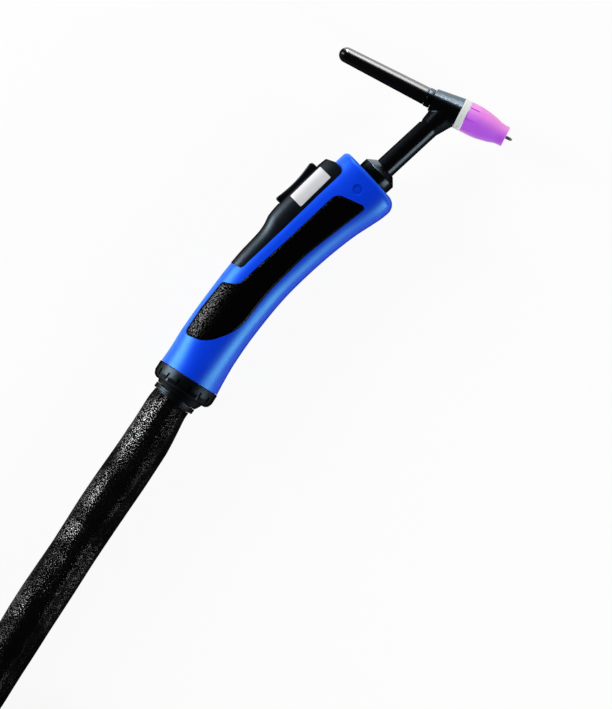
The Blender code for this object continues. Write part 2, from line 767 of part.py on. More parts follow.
# ---------------------------------------------------------------- switch module
def make_switch_module():
    """The black module let into the handle's upper side, with a saddle rocker over two micro switches."""
    start, end = MODULE_TOP[0][0] * HANDLE_LENGTH, MODULE_TOP[-1][0] * HANDLE_LENGTH
    rings = []
    for i in range(MODULE_RINGS + 1):
        x = start + (end - start) * i / MODULE_RINGS
        (top,) = between(MODULE_TOP, x)
        rings.append(section(x, 0.0, top=top, squareness_top=MODULE_SQUARENESS))
    form = lofted("module_form", rings, parent=TORCH)

    outline = shrunk(rounded(drawn(SEAT_CORNERS)), GAP)
    sides = half_width_at(HANDLE_LENGTH / 2, 0.0) + CUT_PAST
    housing = prism("switch_housing", outline, -sides, sides, "black_plastic", TORCH)
    keep_inside(housing, form)

    wide = ROCKER_WIDTH / 2 + GAP
    pocket = block(
        "rocker_pocket",
        (ROCKER_X - ROCKER_LENGTH / 2 - POCKET_MARGIN, POCKET_FLOOR, -wide),
        (ROCKER_X + ROCKER_LENGTH / 2 + POCKET_MARGIN, ROCKER_REAR_TOP + CUT_PAST, wide),
        parent=TORCH,
    )
    pin_reach = wide + PIN_INTO_WALL
    pin_hole = rod("pin_hole", -pin_reach - GAP, pin_reach + GAP, PIN_RADIUS + GAP, parent=ROCKER, steps=SMALL_STEPS)
    cut(housing, pocket, pin_hole)
    rod("rocker_pin", -pin_reach, pin_reach, PIN_RADIUS, "steel", ROCKER, SMALL_STEPS)

    make_rocker()
    board_top = POCKET_FLOOR + GAP + BOARD_THICKNESS
    board_long = ROCKER_LENGTH / 2 - BOARD_END_GAP
    board_wide = ROCKER_WIDTH / 2 - BOARD_SIDE_GAP
    block(
        "switch_board",
        (ROCKER_X - board_long, POCKET_FLOOR + GAP, -board_wide),
        (ROCKER_X + board_long, board_top, board_wide),
        "board",
        TORCH,
    )
    reach = ROCKER_LENGTH / 2 - SWITCH_FROM_END
    for place, middle in (("front", ROCKER_X + reach), ("rear", ROCKER_X - reach)):
        half = SWITCH_SIDE / 2
        block(
            f"micro_switch_{place}",
            (middle - half, board_top + GAP, -half),
            (middle + half, ROCKER_BASE - ROCKER_TRAVEL, half),
            "black_plastic",
            TORCH,
        )


def make_rocker():
    """A saddle: its top dips between a high rear end and a lower front one."""
    rear, front = -ROCKER_LENGTH / 2, ROCKER_LENGTH / 2
    top = []
    steps = 10
    for i in range(steps + 1):
        share = i / steps
        ends = ROCKER_REAR_TOP + (ROCKER_FRONT_TOP - ROCKER_REAR_TOP) * share
        dip = (ROCKER_REAR_TOP + ROCKER_FRONT_TOP) / 2 - ROCKER_MIDDLE_TOP
        top.append(Vector((rear + (front - rear) * share, ends - dip * math.sin(math.pi * share))))
    outline = [Vector((rear, ROCKER_BASE)), Vector((front, ROCKER_BASE))] + top[::-1]
    outline = [point - Vector((0.0, PIN_HEIGHT)) for point in outline]
    rocker = prism("switch_rocker", outline, -ROCKER_WIDTH / 2, ROCKER_WIDTH / 2, "black_plastic", ROCKER)
    edges = rocker.modifiers.new("Rounded edges", "BEVEL")
    edges.width = ROCKER_EDGE
    edges.segments = 2
    edges.limit_method = "ANGLE"
    edges.angle_limit = math.radians(50)
    bore = rod("rocker_bore", -ROCKER_WIDTH, ROCKER_WIDTH, PIN_RADIUS + GAP, parent=ROCKER, steps=SMALL_STEPS)
    cut(rocker, bore)
    shade(rocker)


# ---------------------------------------------------------------- neck and head
def make_neck():
    """The collar in the handle's front wall, and the moulding that covers neck and head in one piece."""
    bore = NECK_RADIUS + GAP
    collar = [
        (-FRONT_WALL - GAP - FLANGE_THICKNESS, COLLAR_FLANGE),
        (-FRONT_WALL - GAP, COLLAR_FLANGE),
        (-FRONT_WALL - GAP, COLLAR_WAIST),
        (GAP, COLLAR_WAIST),
        (GAP, COLLAR_RADIUS),
        (COLLAR_LENGTH, COLLAR_RADIUS),
        (COLLAR_LENGTH + COLLAR_CONE, bore + GAP),
        (COLLAR_LENGTH + COLLAR_CONE, bore),
        (-FRONT_WALL - GAP - FLANGE_THICKNESS, bore),
    ]
    shade(turned("neck_collar", collar, "moulding", NECK, closed=True))

    cover = rod("head_cover", -NECK_INSIDE, NECK_REACH, NECK_RADIUS, "moulding", NECK)
    barrel = turned(
        "head_barrel",
        [
            (-HEAD_REAR, 0.0),
            (-HEAD_REAR, HEAD_REAR_RADIUS),
            (HEAD_FRONT, HEAD_FRONT_RADIUS),
            (HEAD_FRONT + CUT_PAST, HEAD_FRONT_RADIUS),
            (HEAD_FRONT + CUT_PAST, 0.0),
        ],
        parent=HEAD,
    )
    front_face = rod("head_front_face", HEAD_FRONT, HEAD_FRONT + 4 * CUT_PAST, 2 * HEAD_FRONT_RADIUS, parent=HEAD)
    join(cover, make_gusset(), barrel)
    cut(cover, front_face)
    head_bore = rod(
        "head_bore", -HEAD_REAR - CUT_PAST, HEAD_FRONT + 2 * CUT_PAST, TORCH_BODY_RADIUS + GAP, parent=HEAD, steps=24
    )
    bore_end = NECK_REACH - NECK_TUBE_RADIUS / 4
    neck_bore = rod(
        "neck_bore", -NECK_INSIDE - CUT_PAST, bore_end, NECK_TUBE_RADIUS + GAP, parent=NECK, steps=24
    )
    cut(cover, neck_bore, head_bore)


def make_gusset():
    """The web that flares from the round neck to the head, deeper on the nozzle's side."""
    count = 24
    rings = []
    for along, low, high, wide in (
        (GUSSET_START, NECK_RADIUS * 0.97, NECK_RADIUS * 0.97, NECK_RADIUS * 0.97),
        (GUSSET_END, GUSSET_LOW, GUSSET_HIGH, GUSSET_HALF_WIDTH),
        (NECK_REACH - NECK_RADIUS / 4, GUSSET_LOW * 0.6, GUSSET_HIGH * 0.6, GUSSET_HALF_WIDTH * 0.6),
    ):
        row = []
        for i in range(count):
            angle = math.tau * i / count
            rise = math.sin(angle)
            # Y of the neck's frame points away from the cap
            height = rise * (low if rise > 0 else high)
            row.append(Vector((math.cos(angle) * wide, height, along)))
        rings.append(row)
    return lofted("neck_gusset", rings, parent=NECK)


def make_head_inside():
    """What sits on the head's axis: torch body, collet, electrode, seal, cap, insulator and nozzle."""
    ring(
        "torch_body", -HEAD_REAR + GAP, HEAD_FRONT - GAP, TORCH_BODY_RADIUS, TORCH_BODY_BORE, "brass", HEAD, 24
    )
    slope = math.radians(HEAD_ANGLE)
    tube_end = TORCH_BODY_RADIUS / math.sin(slope) + NECK_TUBE_RADIUS / math.tan(slope) + GAP
    ring(
        "neck_tube",
        -NECK_TUBE_INSIDE,
        NECK_REACH - tube_end,
        NECK_TUBE_RADIUS,
        NECK_TUBE_BORE,
        "copper",
        NECK,
        SMALL_STEPS,
    )

    ring_start = -HEAD_REAR - GAP - REAR_RING_LENGTH
    seal_centre = ring_start + REAR_RING_LENGTH / 2
    seal_middle = CAP_THREAD_RADIUS + GAP + SEAL_RADIUS
    ring_bore = seal_middle + SEAL_RADIUS + GAP
    rear_ring = [
        (ring_start, REAR_RING_RADIUS),
        (-HEAD_REAR - GAP, REAR_RING_RADIUS),
        (-HEAD_REAR - GAP, TORCH_BODY_BORE),
        (seal_centre + SEAL_RADIUS + GAP, TORCH_BODY_BORE),
        (seal_centre + SEAL_RADIUS + GAP, ring_bore),
        (ring_start, ring_bore),
    ]
    shade(turned("head_rear_ring", rear_ring, "moulding", HEAD, 24, closed=True))
    seal_profile = [
        (seal_centre + SEAL_RADIUS * math.sin(a), seal_middle + SEAL_RADIUS * math.cos(a))
        for a in (math.tau * i / 6 for i in range(6))
    ]
    turned("cap_seal", seal_profile, "seal_rubber", HEAD, SMALL_STEPS, closed=True)
    make_back_cap(ring_start - GAP)

    insulator_start = HEAD_FRONT + GAP
    insulator_end = insulator_start + INSULATOR_LENGTH
    ring("insulator_ring", insulator_start, insulator_end, INSULATOR_RADIUS, INSULATOR_BORE, "ptfe", HEAD)
    make_collet(insulator_start, insulator_end)
    make_nozzle(insulator_end + GAP)


def make_back_cap(base):
    """The long cap that covers the electrode's rear end: hollow, with a threaded boss in the head."""
    tip = base - CAP_LENGTH
    boss_end = -HEAD_REAR + CAP_THREAD_IN_HEAD
    crown = CAP_TIP_RADIUS
    profile = [(boss_end, CAP_BORE), (boss_end, CAP_THREAD_RADIUS), (base, CAP_THREAD_RADIUS)]
    profile += [(base, CAP_BASE_RADIUS - GAP), (base - GAP, CAP_BASE_RADIUS)]
    for degrees in (0, 25, 50, 72):
        turn = math.radians(degrees)
        profile.append((tip + crown * (1 - math.sin(turn)), crown * math.cos(turn)))
    profile += [(tip, 0.0), (tip + CAP_WALL_AT_TIP, 0.0), (tip + CAP_WALL_AT_TIP, CAP_BORE)]
    # the loop closes along the bore, and its two points on the axis are the cap's crown and the bore's end
    cap = turned("back_cap", profile, "black_plastic", HEAD, 24, closed=False)
    close_bore(cap, profile)
    shade(cap)


def close_bore(obj, profile):
    """Joins a profile's last point to its first, past the points that lie on the axis."""
    mesh = obj.data
    points = [tuple(v.co) for v in mesh.vertices]
    edges = [tuple(e.vertices) for e in mesh.edges]
    on_axis = [i for i, point in enumerate(points) if point[0] == 0.0]
    edges = [edge for edge in edges if not (edge[0] in on_axis and edge[1] in on_axis)]
    edges.append((len(points) - 1, 0))
    mesh.clear_geometry()
    mesh.from_pydata(points, edges, [])


def make_collet(insulator_start, insulator_end):
    """The collet body in the torch body's thread, the collet in it, and the electrode that it grips."""
    flange_start = insulator_end + GAP
    flange_end = flange_start + NOZZLE_THREAD_LENGTH
    bore = COLLET_RADIUS + GAP
    thread_start = insulator_start - 2 * COLLET_BODY_RADIUS
    shoulder = COLLET_BODY_TIP - COLLET_BODY_RADIUS
    profile = [
        (thread_start, COLLET_BODY_RADIUS),
        (flange_start, COLLET_BODY_RADIUS),
        (flange_start, COLLET_BODY_FLANGE),
        (flange_end, COLLET_BODY_FLANGE),
        (flange_end, COLLET_BODY_RADIUS),
        (shoulder, COLLET_BODY_RADIUS),
        (COLLET_BODY_TIP, COLLET_BODY_TIP_RADIUS),
        (COLLET_BODY_TIP, bore),
        (thread_start, bore),
    ]
    shade(turned("collet_body", profile, "copper", HEAD, 24, closed=True))
    ring(
        "collet",
        -COLLET_REAR,
        COLLET_BODY_TIP - GAP,
        COLLET_RADIUS,
        ELECTRODE_RADIUS + GAP,
        "copper",
        HEAD,
        SMALL_STEPS,
    )
    cap_end = -HEAD_REAR - 2 * GAP - REAR_RING_LENGTH - CAP_LENGTH + CAP_WALL_AT_TIP
    tip = insulator_end + GAP + NOZZLE_LENGTH + ELECTRODE_STICKS_OUT
    electrode = [
        (cap_end + ELECTRODE_TO_CAP_END, 0.0),
        (cap_end + ELECTRODE_TO_CAP_END, ELECTRODE_RADIUS),
        (tip - ELECTRODE_TIP, ELECTRODE_RADIUS),
        (tip, ELECTRODE_RADIUS / 5),
        (tip, 0.0),
    ]
    shade(turned("electrode", electrode, "tungsten", HEAD, SMALL_STEPS))


def make_nozzle(base):
    """The ceramic: a cylinder for a quarter of its length, a bell taper, and a short straight exit."""
    outer = []
    for share, radius in (
        (0.0, NOZZLE_RADIUS - GAP),
        (0.02, NOZZLE_RADIUS),
        (0.24, NOZZLE_RADIUS),
        (0.40, NOZZLE_RADIUS - 0.0005),
        (0.52, NOZZLE_RADIUS - 0.0012),
        (0.66, (NOZZLE_RADIUS + NOZZLE_EXIT_RADIUS) / 2 - 0.0002),
        (0.78, NOZZLE_EXIT_RADIUS + 0.0005),
        (0.86, NOZZLE_EXIT_RADIUS),
        (1.0, NOZZLE_EXIT_RADIUS),
    ):
        outer.append((base + NOZZLE_LENGTH * share, radius))
    thread_end = base + NOZZLE_THREAD_LENGTH + 2 * GAP
    inner = [(along, radius - NOZZLE_WALL) for along, radius in outer[3::2]]
    inner = [(thread_end, NOZZLE_THREAD_BORE), (thread_end + NOZZLE_WALL, inner[0][1])] + inner
    inner = [(base, NOZZLE_THREAD_BORE)] + inner
    shade(turned("gas_nozzle", outer + inner[::-1], "ceramic", HEAD, closed=True))


# ---------------------------------------------------------------- inside the handle
def make_handle_inside():
    """The brass connector on the neck tube, the power hose back to the ball, and the control lead."""
    start = -NECK_TUBE_INSIDE - GAP
    end = start - CONNECTOR_LENGTH
    rod("power_connector", end, start, CONNECTOR_RADIUS, "brass", NECK, 6)
    ring(
        "hose_ferrule",
        end - GAP - FERRULE_LENGTH,
        end - GAP,
        INNER_HOSE_RADIUS + GAP + FERRULE_WALL,
        INNER_HOSE_RADIUS + GAP,
        "brass",
        NECK,
        24,
    )
    bpy.context.view_layer.update()
    neck = NECK.matrix_world
    ball = BALL.matrix_world
    straight = end - GAP - FERRULE_LENGTH - 2 * GAP
    route = [
        neck @ Vector((0.0, 0.0, end - GAP)),
        neck @ Vector((0.0, 0.0, straight)),
        neck @ Vector((0.0, 0.0, straight - INNER_HOSE_RADIUS)),
    ]
    for share in (0.64, 0.50, 0.36, 0.24):
        route.append(torch_point(*along_grip(share, -INNER_HOSE_BELOW_MIDDLE)))
    route.append(ball @ Vector((0.0, 0.0, -INNER_HOSE_TO_BALL - 2 * INNER_HOSE_RADIUS)))
    route.append(ball @ Vector((0.0, 0.0, -INNER_HOSE_TO_BALL)))
    hose("power_hose", route[:2] + smooth_route(route[2:]), INNER_HOSE_RADIUS, "hose_rubber", 2)

    start = ROCKER_X - CONTROL_LEAD_BEHIND_PIN
    top = seat_floor(start)
    lead = [torch_point(start, top), torch_point(start, top - CONTROL_LEAD_RADIUS)]
    lead.append(torch_point(start - 1.6 * CONTROL_LEAD_RADIUS, top - 2.7 * CONTROL_LEAD_RADIUS))
    for share in (0.57, 0.50, 0.37, 0.25, 0.15):
        lead.append(torch_point(*along_grip(share, CONTROL_LEAD_ABOVE_MIDDLE)))
    hose("control_lead", smooth_route(lead, 5 * CONTROL_LEAD_RADIUS), CONTROL_LEAD_RADIUS, "hose_rubber", 2)


def along_grip(share, above):
    """A point of the torch plane at a share of the handle's length, above or below the grip's middle line."""
    x = share * HANDLE_LENGTH
    return x, between(GRIP_STATIONS, x)[0] + above


def seat_floor(x):
    """The height of the lower edge of the switch module's seat."""
    (x1, y1, _), (x2, y2, _) = drawn(SEAT_CORNERS)[2:4]
    return y1 + (y2 - y1) * (x - x1) / (x2 - x1)


# ---------------------------------------------------------------- rear nut and ball joint
def sphere_radius_at(distance, clearance=0.0):
    """The ball's radius, widened by clearance, at a distance from its centre along the axis."""
    return math.sqrt((BALL_RADIUS + clearance) ** 2 - distance**2)


def make_rear_nut():
    """The notched nut that holds the half shells together and keeps the ball in."""
    rounding_start = NUT_LENGTH - NUT_ROUNDING
    profile = [(GAP, NUT_RADIUS - GAP), (2 * GAP, NUT_RADIUS)]
    for degrees in (0, 30, 60, 90):
        turn = math.radians(degrees)
        profile.append(
            (
                rounding_start + NUT_ROUNDING * math.sin(turn),
                NUT_REAR_RADIUS + (NUT_RADIUS - NUT_REAR_RADIUS) * math.cos(turn),
            )
        )
    lip_start = NUT_LENGTH - NUT_LIP
    for along in (NUT_LENGTH, (NUT_LENGTH + lip_start) / 2, lip_start):
        profile.append((along, sphere_radius_at(along - BALL_BEHIND_FACE, BALL_CLEARANCE)))
    profile += [(lip_start, NUT_RADIUS - NUT_WALL), (GAP, NUT_RADIUS - NUT_WALL)]
    nut = turned("rear_nut", profile, "black_plastic", REAR, closed=True)
    notches = radial_blocks(
        "nut_notches",
        NUT_NOTCHES,
        NUT_RADIUS - NUT_NOTCH_DEPTH,
        NUT_NOTCH_WIDTH,
        NUT_LENGTH - NUT_NOTCH_LENGTH,
        NUT_LENGTH + CUT_PAST,
        REAR,
    )
    cut(nut, notches)
    shade(nut)


def radial_blocks(name, count, inner, width, low, high, parent):
    """Blocks set round an axis, which cut notches or grooves into a round piece."""
    mesh = bpy.data.meshes.new(name)
    shape = bmesh.new()
    for i in range(count):
        turn = Matrix.Rotation(math.tau * (i + 0.5) / count, 4, "Z")
        made = bmesh.ops.create_cube(shape, size=1.0)["verts"]
        bmesh.ops.scale(shape, vec=(2 * CUT_PAST, width, high - low), verts=made)
        place = Matrix.Translation((inner + CUT_PAST, 0.0, (low + high) / 2))
        bmesh.ops.transform(shape, matrix=turn @ place, verts=made)
    shape.to_mesh(mesh)
    shape.free()
    return add(name, mesh, None, parent)


def make_ball_joint():
    """The ball on the hose's end, its seat in the handle, and the ring that clamps the leather."""
    seat_low = -SEAT_TO_BALL_CENTRE - SEAT_LENGTH
    seat = [(-SEAT_TO_BALL_CENTRE, SEAT_RADIUS), (seat_low, SEAT_RADIUS)]
    for share in (0.0, 0.5, 1.0):
        along = seat_low + SEAT_LENGTH * share
        seat.append((along, sphere_radius_at(along, BALL_CLEARANCE)))
    placed = [(along + BALL_BEHIND_FACE, radius) for along, radius in seat]
    shade(turned("ball_seat", placed, "black_plastic", REAR, 24, closed=True))

    profile = []
    front, back = -BALL_FRONT, CLAMP_START - GAP
    steps = 7
    for i in range(steps + 1):
        start, end = math.asin(front / BALL_RADIUS), math.asin(back / BALL_RADIUS)
        turn = start + (end - start) * i / steps
        profile.append((BALL_RADIUS * math.sin(turn), BALL_RADIUS * math.cos(turn)))
    profile += [(back, BALL_TAIL_RADIUS), (BALL_TAIL, BALL_TAIL_RADIUS), (BALL_TAIL, BALL_BORE)]
    profile.append((front, BALL_BORE))
    shade(turned("hose_ball", profile, "black_plastic", BALL, 24, closed=True))
    rod("hose_end_in_ball", front, BALL_TAIL, BALL_BORE - GAP, "hose_rubber", BALL, 24)
    edge = 2 * GAP
    clamp_end = CLAMP_START + CLAMP_LENGTH
    clamp = [
        (CLAMP_START, CLAMP_RADIUS - edge),
        (CLAMP_START + edge, CLAMP_RADIUS),
        (clamp_end - edge, CLAMP_RADIUS),
        (clamp_end, CLAMP_RADIUS - edge),
        (clamp_end, BALL_TAIL_RADIUS + GAP),
        (CLAMP_START, BALL_TAIL_RADIUS + GAP),
    ]
    shade(turned("sleeve_clamp", clamp, "black_plastic", BALL, closed=True))


# ---------------------------------------------------------------- hose
def make_sleeve():
    """The leather sleeve over hose and lead, its cuff, and the lead-in of the slim hose."""
    bpy.context.view_layer.update()
    ball = BALL.matrix_world
    points = [bench_point(*place) for place in SLEEVE_ROUTE]
    tail = BALL_TAIL + GAP
    points[0] = ball @ Vector((0.0, 0.0, tail))
    points.insert(1, ball @ Vector((0.0, 0.0, tail + SLEEVE_START_RADIUS / 3)))
    points.insert(-1, CUFF.matrix_world @ Vector((0.0, 0.0, -SLEEVE_RADIUS / 2)))
    smooth = smooth_route(points)
    wide = SLEEVE_RADIUS / SLEEVE_START_RADIUS
    travelled = 0.0
    radii = []
    for i, point in enumerate(smooth):
        if i:
            travelled += (point - smooth[i - 1]).length
        radii.append(1.0 + (wide - 1.0) * min(1.0, travelled / (2 * SLEEVE_RADIUS)))
    hose("leather_sleeve", smooth, SLEEVE_START_RADIUS, "leather", 3, radii)
    cuff = [
        (GAP, 0.0),
        (GAP, CUFF_RADIUS),
        (CUFF_LENGTH * 0.4, CUFF_RADIUS),
        (CUFF_LENGTH, CUFF_END_RADIUS),
        (CUFF_LENGTH, 0.0),
    ]
    shade(turned("sleeve_cuff", cuff, "hose_rubber", CUFF, 24))

    leaving = CUFF_LENGTH + GAP
    lead_in = [CUFF.matrix_world @ Vector((0.0, 0.0, leaving + d)) for d in (0.0, HOSE_RADIUS)]
    lead_in += [bench_point(*place) for place in LEAD_IN_ROUTE]
    coil = coil_points()
    ahead = (coil[1] - coil[0]).normalized()
    meeting = coil[0] - ahead * GAP
    lead_in += [meeting - ahead * 2 * HOSE_RADIUS, meeting]
    lead_in = smooth_route(lead_in)
    hose("hose_lead_in", lead_in, HOSE_RADIUS, "hose_rubber", 2)
    print(f"leather sleeve {route_length(smooth):.3f} m, lead-in {route_length(lead_in):.3f} m")


def coil_points():
    """The coil's middle line: it spirals in, climbs a layer in the half turn where it reverses, and spirals out."""
    turns = COIL_TURNS_A_LAYER * COIL_LAYERS
    outermost = COIL_MEAN_RADIUS + COIL_PITCH * COIL_TURNS_A_LAYER / 2
    # a six-sided tube stands on its edges, so the middle of the first layer is one radius up
    floor = HOSE_RADIUS + GAP
    points = []
    steps = round(turns * COIL_POINTS_A_TURN)
    for i in range(steps + 1):
        t = turns * i / steps
        layer_position = t / COIL_TURNS_A_LAYER
        inwards = abs((layer_position + 1) % 2 - 1)
        radius = outermost - COIL_PITCH * COIL_TURNS_A_LAYER * inwards
        height = floor
        for reversal in range(1, COIL_LAYERS):
            climb = (t - (reversal * COIL_TURNS_A_LAYER - 0.25)) / 0.5
            height += COIL_PITCH * max(0.0, min(1.0, climb))
        angle = math.radians(COIL_START_ANGLE) + math.tau * t
        points.append(
            bench_point(
                COIL_CENTRE_X + radius * math.cos(angle), COIL_CENTRE_Y + radius * math.sin(angle), height
            )
        )
    straight = 2 * HOSE_RADIUS
    first = (points[0] - points[1]).normalized()
    last = (points[-1] - points[-2]).normalized()
    return [points[0] + first * straight] + points + [points[-1] + last * straight]


def least_gap(points, diameter):
    """The smallest space between a tube's surface and itself, measured on its middle line."""
    skip = COIL_POINTS_A_TURN // 2
    least = math.inf
    for i in range(len(points) - 1):
        for j in range(i + skip, len(points) - 1):
            least = min(least, segment_distance(points[i], points[i + 1], points[j], points[j + 1]))
    return least - diameter


def segment_distance(a, b, c, d):
    """The distance between two short segments, by stepping along the first."""
    least = math.inf
    for k in range(5):
        point = a.lerp(b, k / 4)
        share = max(0.0, min(1.0, (point - c).dot(d - c) / (d - c).length_squared))
        least = min(least, (point - c.lerp(d, share)).length)
    return least


def make_coil():
    points = coil_points()
    hose("hose_coil", points, HOSE_RADIUS, "hose_rubber", 1)
    print(f"hose coil {route_length(points):.3f} m, least gap to itself {least_gap(points, 2 * HOSE_RADIUS) * 1000:.2f} mm")


# ---------------------------------------------------------------- machine plug
def make_plug():
    """The plug that goes into the power source, lying on the coil: boot, body, union nut, insert and pin."""
    coil = coil_points()
    ahead = (coil[-1] - coil[-2]).normalized()
    plug = PLUG.matrix_world
    entry = plug @ Vector((0.0, 0.0, -GAP))
    lead_out = [coil[-1] + ahead * GAP, coil[-1] + ahead * HOSE_RADIUS]
    lead_out += [bench_point(*place) for place in LEAD_OUT_ROUTE]
    lead_out += [plug @ Vector((0.0, 0.0, -2 * HOSE_RADIUS)), entry]
    lead_out = smooth_route(lead_out)
    hose("hose_lead_out", lead_out, HOSE_RADIUS, "hose_rubber", 2)
    print(f"lead-out {route_length(lead_out):.3f} m")

    boot = [
        (0.0, 0.0),
        (0.0, BOOT_MOUTH_RADIUS),
        (BOOT_LENGTH * 0.7, BOOT_RADIUS),
        (BOOT_LENGTH, BOOT_RADIUS),
        (BOOT_LENGTH, 0.0),
    ]
    shade(turned("plug_boot", boot, "hose_rubber", PLUG, 24))
    body_start = BOOT_LENGTH + GAP
    body_end = body_start + PLUG_BODY_LENGTH
    body = [
        (body_start, 0.0),
        (body_start, BOOT_RADIUS),
        (body_start + PLUG_BODY_LENGTH * 0.15, PLUG_BODY_RADIUS),
        (body_end - PLUG_BODY_LENGTH * 0.2, PLUG_BODY_RADIUS),
        (body_end, UNION_RADIUS - UNION_WALL * 2),
        (body_end, 0.0),
    ]
    shade(turned("plug_body", body, "black_plastic", PLUG, 24))

    insert_start = body_end + GAP
    insert_end = insert_start + INSERT_LENGTH
    pin_root = insert_end - POWER_PIN_RADIUS
    insert = rod("plug_insert", insert_start, insert_end, INSERT_RADIUS, "black_plastic", PLUG, 24)
    socket = rod("pin_socket", pin_root - GAP, insert_end + CUT_PAST, POWER_PIN_RADIUS + GAP, parent=PLUG, steps=SMALL_STEPS)
    cut(insert, socket)
    pin = rod("plug_power_pin", pin_root, insert_end + POWER_PIN_LENGTH, POWER_PIN_RADIUS, "brass", PLUG, SMALL_STEPS)
    gas_way = rod(
        "gas_way", insert_end, insert_end + POWER_PIN_LENGTH + CUT_PAST, POWER_PIN_BORE, parent=PLUG, steps=12
    )
    cut(pin, gas_way)

    union_start = insert_start + GAP
    bore = INSERT_RADIUS + GAP
    union = ring("plug_union_nut", union_start, union_start + UNION_LENGTH, UNION_RADIUS, bore, "brass", PLUG)
    grooves = radial_blocks(
        "union_grooves",
        UNION_GROOVES,
        UNION_RADIUS - UNION_WALL / 2,
        UNION_GROOVE_WIDTH,
        union_start + UNION_LENGTH * 0.2,
        union_start + UNION_LENGTH * 0.8,
        PLUG,
    )
    cut(union, grooves)


clear_scene()
PARTS_COLLECTION = collection(PARTS)
CUTTERS_COLLECTION = collection(CUTTERS)
MATERIALS = make_materials()

TORCH = bpy.data.objects.new("torch_plane", None)
TORCH.location = torch_point(0.0, 0.0)
PARTS_COLLECTION.objects.link(TORCH)
REAR = axis_empty("rear_axis", torch_point(0.0, 0.0), 180.0 + REAR_TILT)
NECK = axis_empty("neck_axis", torch_point(HANDLE_LENGTH, NECK_START_Y), FRONT_TILT)
HEAD_POINT = Vector((HANDLE_LENGTH, NECK_START_Y)) + NECK_REACH * Vector(
    (math.cos(math.radians(FRONT_TILT)), math.sin(math.radians(FRONT_TILT)))
)
HEAD = axis_empty("head_axis", torch_point(HEAD_POINT.x, HEAD_POINT.y), FRONT_TILT - HEAD_ANGLE)
BALL_POINT = -BALL_BEHIND_FACE * Vector((math.cos(math.radians(REAR_TILT)), math.sin(math.radians(REAR_TILT))))
BALL = axis_empty("ball_joint", torch_point(BALL_POINT.x, BALL_POINT.y), 180.0 + BALL_SWING)
ROCKER_X = HANDLE_LENGTH - ROCKER_BEHIND_FRONT - ROCKER_LENGTH / 2
ROCKER = bpy.data.objects.new("rocker_axis", None)
ROCKER.location = torch_point(ROCKER_X, PIN_HEIGHT)
PARTS_COLLECTION.objects.link(ROCKER)
CUFF_POINT = SLEEVE_ROUTE[-1]
CUFF = axis_empty("sleeve_end", bench_point(*CUFF_POINT), CUFF_ANGLE)
PLUG = axis_empty("plug_axis", bench_point(PLUG_X, PLUG_Y, PLUG_HEIGHT), PLUG_ANGLE)

make_handle()
make_switch_module()
make_neck()
make_head_inside()
make_handle_inside()
make_rear_nut()
make_ball_joint()
make_sleeve()
make_coil()
make_plug()
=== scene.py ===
# %% [markdown]
# # A TIG welding torch, dressed for its picture
# The torch lies on its side on a pale bench and the camera looks straight down on it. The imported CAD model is
# loaded first and stays where it is. Every step after that makes one piece of the real torch in finer form, gives
# it a finish, and ties it to the part of the model that it moves with.

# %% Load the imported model
import json
import math

import bmesh
import bpy
from mathutils import Matrix, Vector
from mathutils.geometry import delaunay_2d_cdt


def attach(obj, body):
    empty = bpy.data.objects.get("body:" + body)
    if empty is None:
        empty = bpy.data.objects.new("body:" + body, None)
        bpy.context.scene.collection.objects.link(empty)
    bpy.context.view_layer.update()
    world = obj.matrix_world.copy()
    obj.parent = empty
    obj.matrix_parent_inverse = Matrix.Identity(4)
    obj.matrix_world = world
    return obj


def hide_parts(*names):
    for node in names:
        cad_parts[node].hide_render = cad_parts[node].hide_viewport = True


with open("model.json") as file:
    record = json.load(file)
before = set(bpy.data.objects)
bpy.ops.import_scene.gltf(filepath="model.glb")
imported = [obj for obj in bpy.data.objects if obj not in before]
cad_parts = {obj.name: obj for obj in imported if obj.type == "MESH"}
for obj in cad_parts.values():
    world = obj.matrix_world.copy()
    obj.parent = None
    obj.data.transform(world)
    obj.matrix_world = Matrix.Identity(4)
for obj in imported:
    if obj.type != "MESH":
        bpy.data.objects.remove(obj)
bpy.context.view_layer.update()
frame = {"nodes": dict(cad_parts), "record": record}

joints = {joint["name"]: joint for joint in frame["record"]["behaviour"]["joints"]}

# %% [markdown]
# ## The camera
# The photo was taken square to the torch's side from far away: the nozzle's and the nut's round ends show as
# straight lines. A long lens well above the bench does that. The torch is turned in the picture by turning the
# camera about its own line of sight, so the torch itself stays square to the axes and its sizes stay easy to read.

# %% Camera
BENCH_TO_AXIS = 0.0234  # the torch's middle plane above the bench: the rear nut's radius
PHOTO_TALL = 709  # pixels
METRES_A_PIXEL = 0.00070
PHOTO_TURN = math.radians(47.5)
LOOK_AT = (-0.0630, -0.0605)

camera = bpy.data.cameras.new("camera")
camera.lens = 400.0
camera.sensor_width = 36.0
away = PHOTO_TALL * METRES_A_PIXEL * camera.lens / camera.sensor_width
eye = bpy.data.objects.new("camera", camera)
eye.location = (*LOOK_AT, BENCH_TO_AXIS + away)
eye.rotation_euler = (0.0, 0.0, -PHOTO_TURN)
bpy.context.scene.collection.objects.link(eye)
bpy.context.scene.camera = eye
bpy.context.scene.view_settings.view_transform = "Standard"
print(f"camera {away:.3f} m above the torch")

# %% [markdown]
# ## Shader maths as plain sums
# A finish is a small sum of patterns: a grain, a slow change of tone, a polish that comes and goes. Wired by hand
# in the node editor such sums get hard to read, so here a node's output behaves like a number in Python. Each
# sign adds one Math node, and everything else goes through one method that makes a node from its type, its
# settings and what its sockets get.

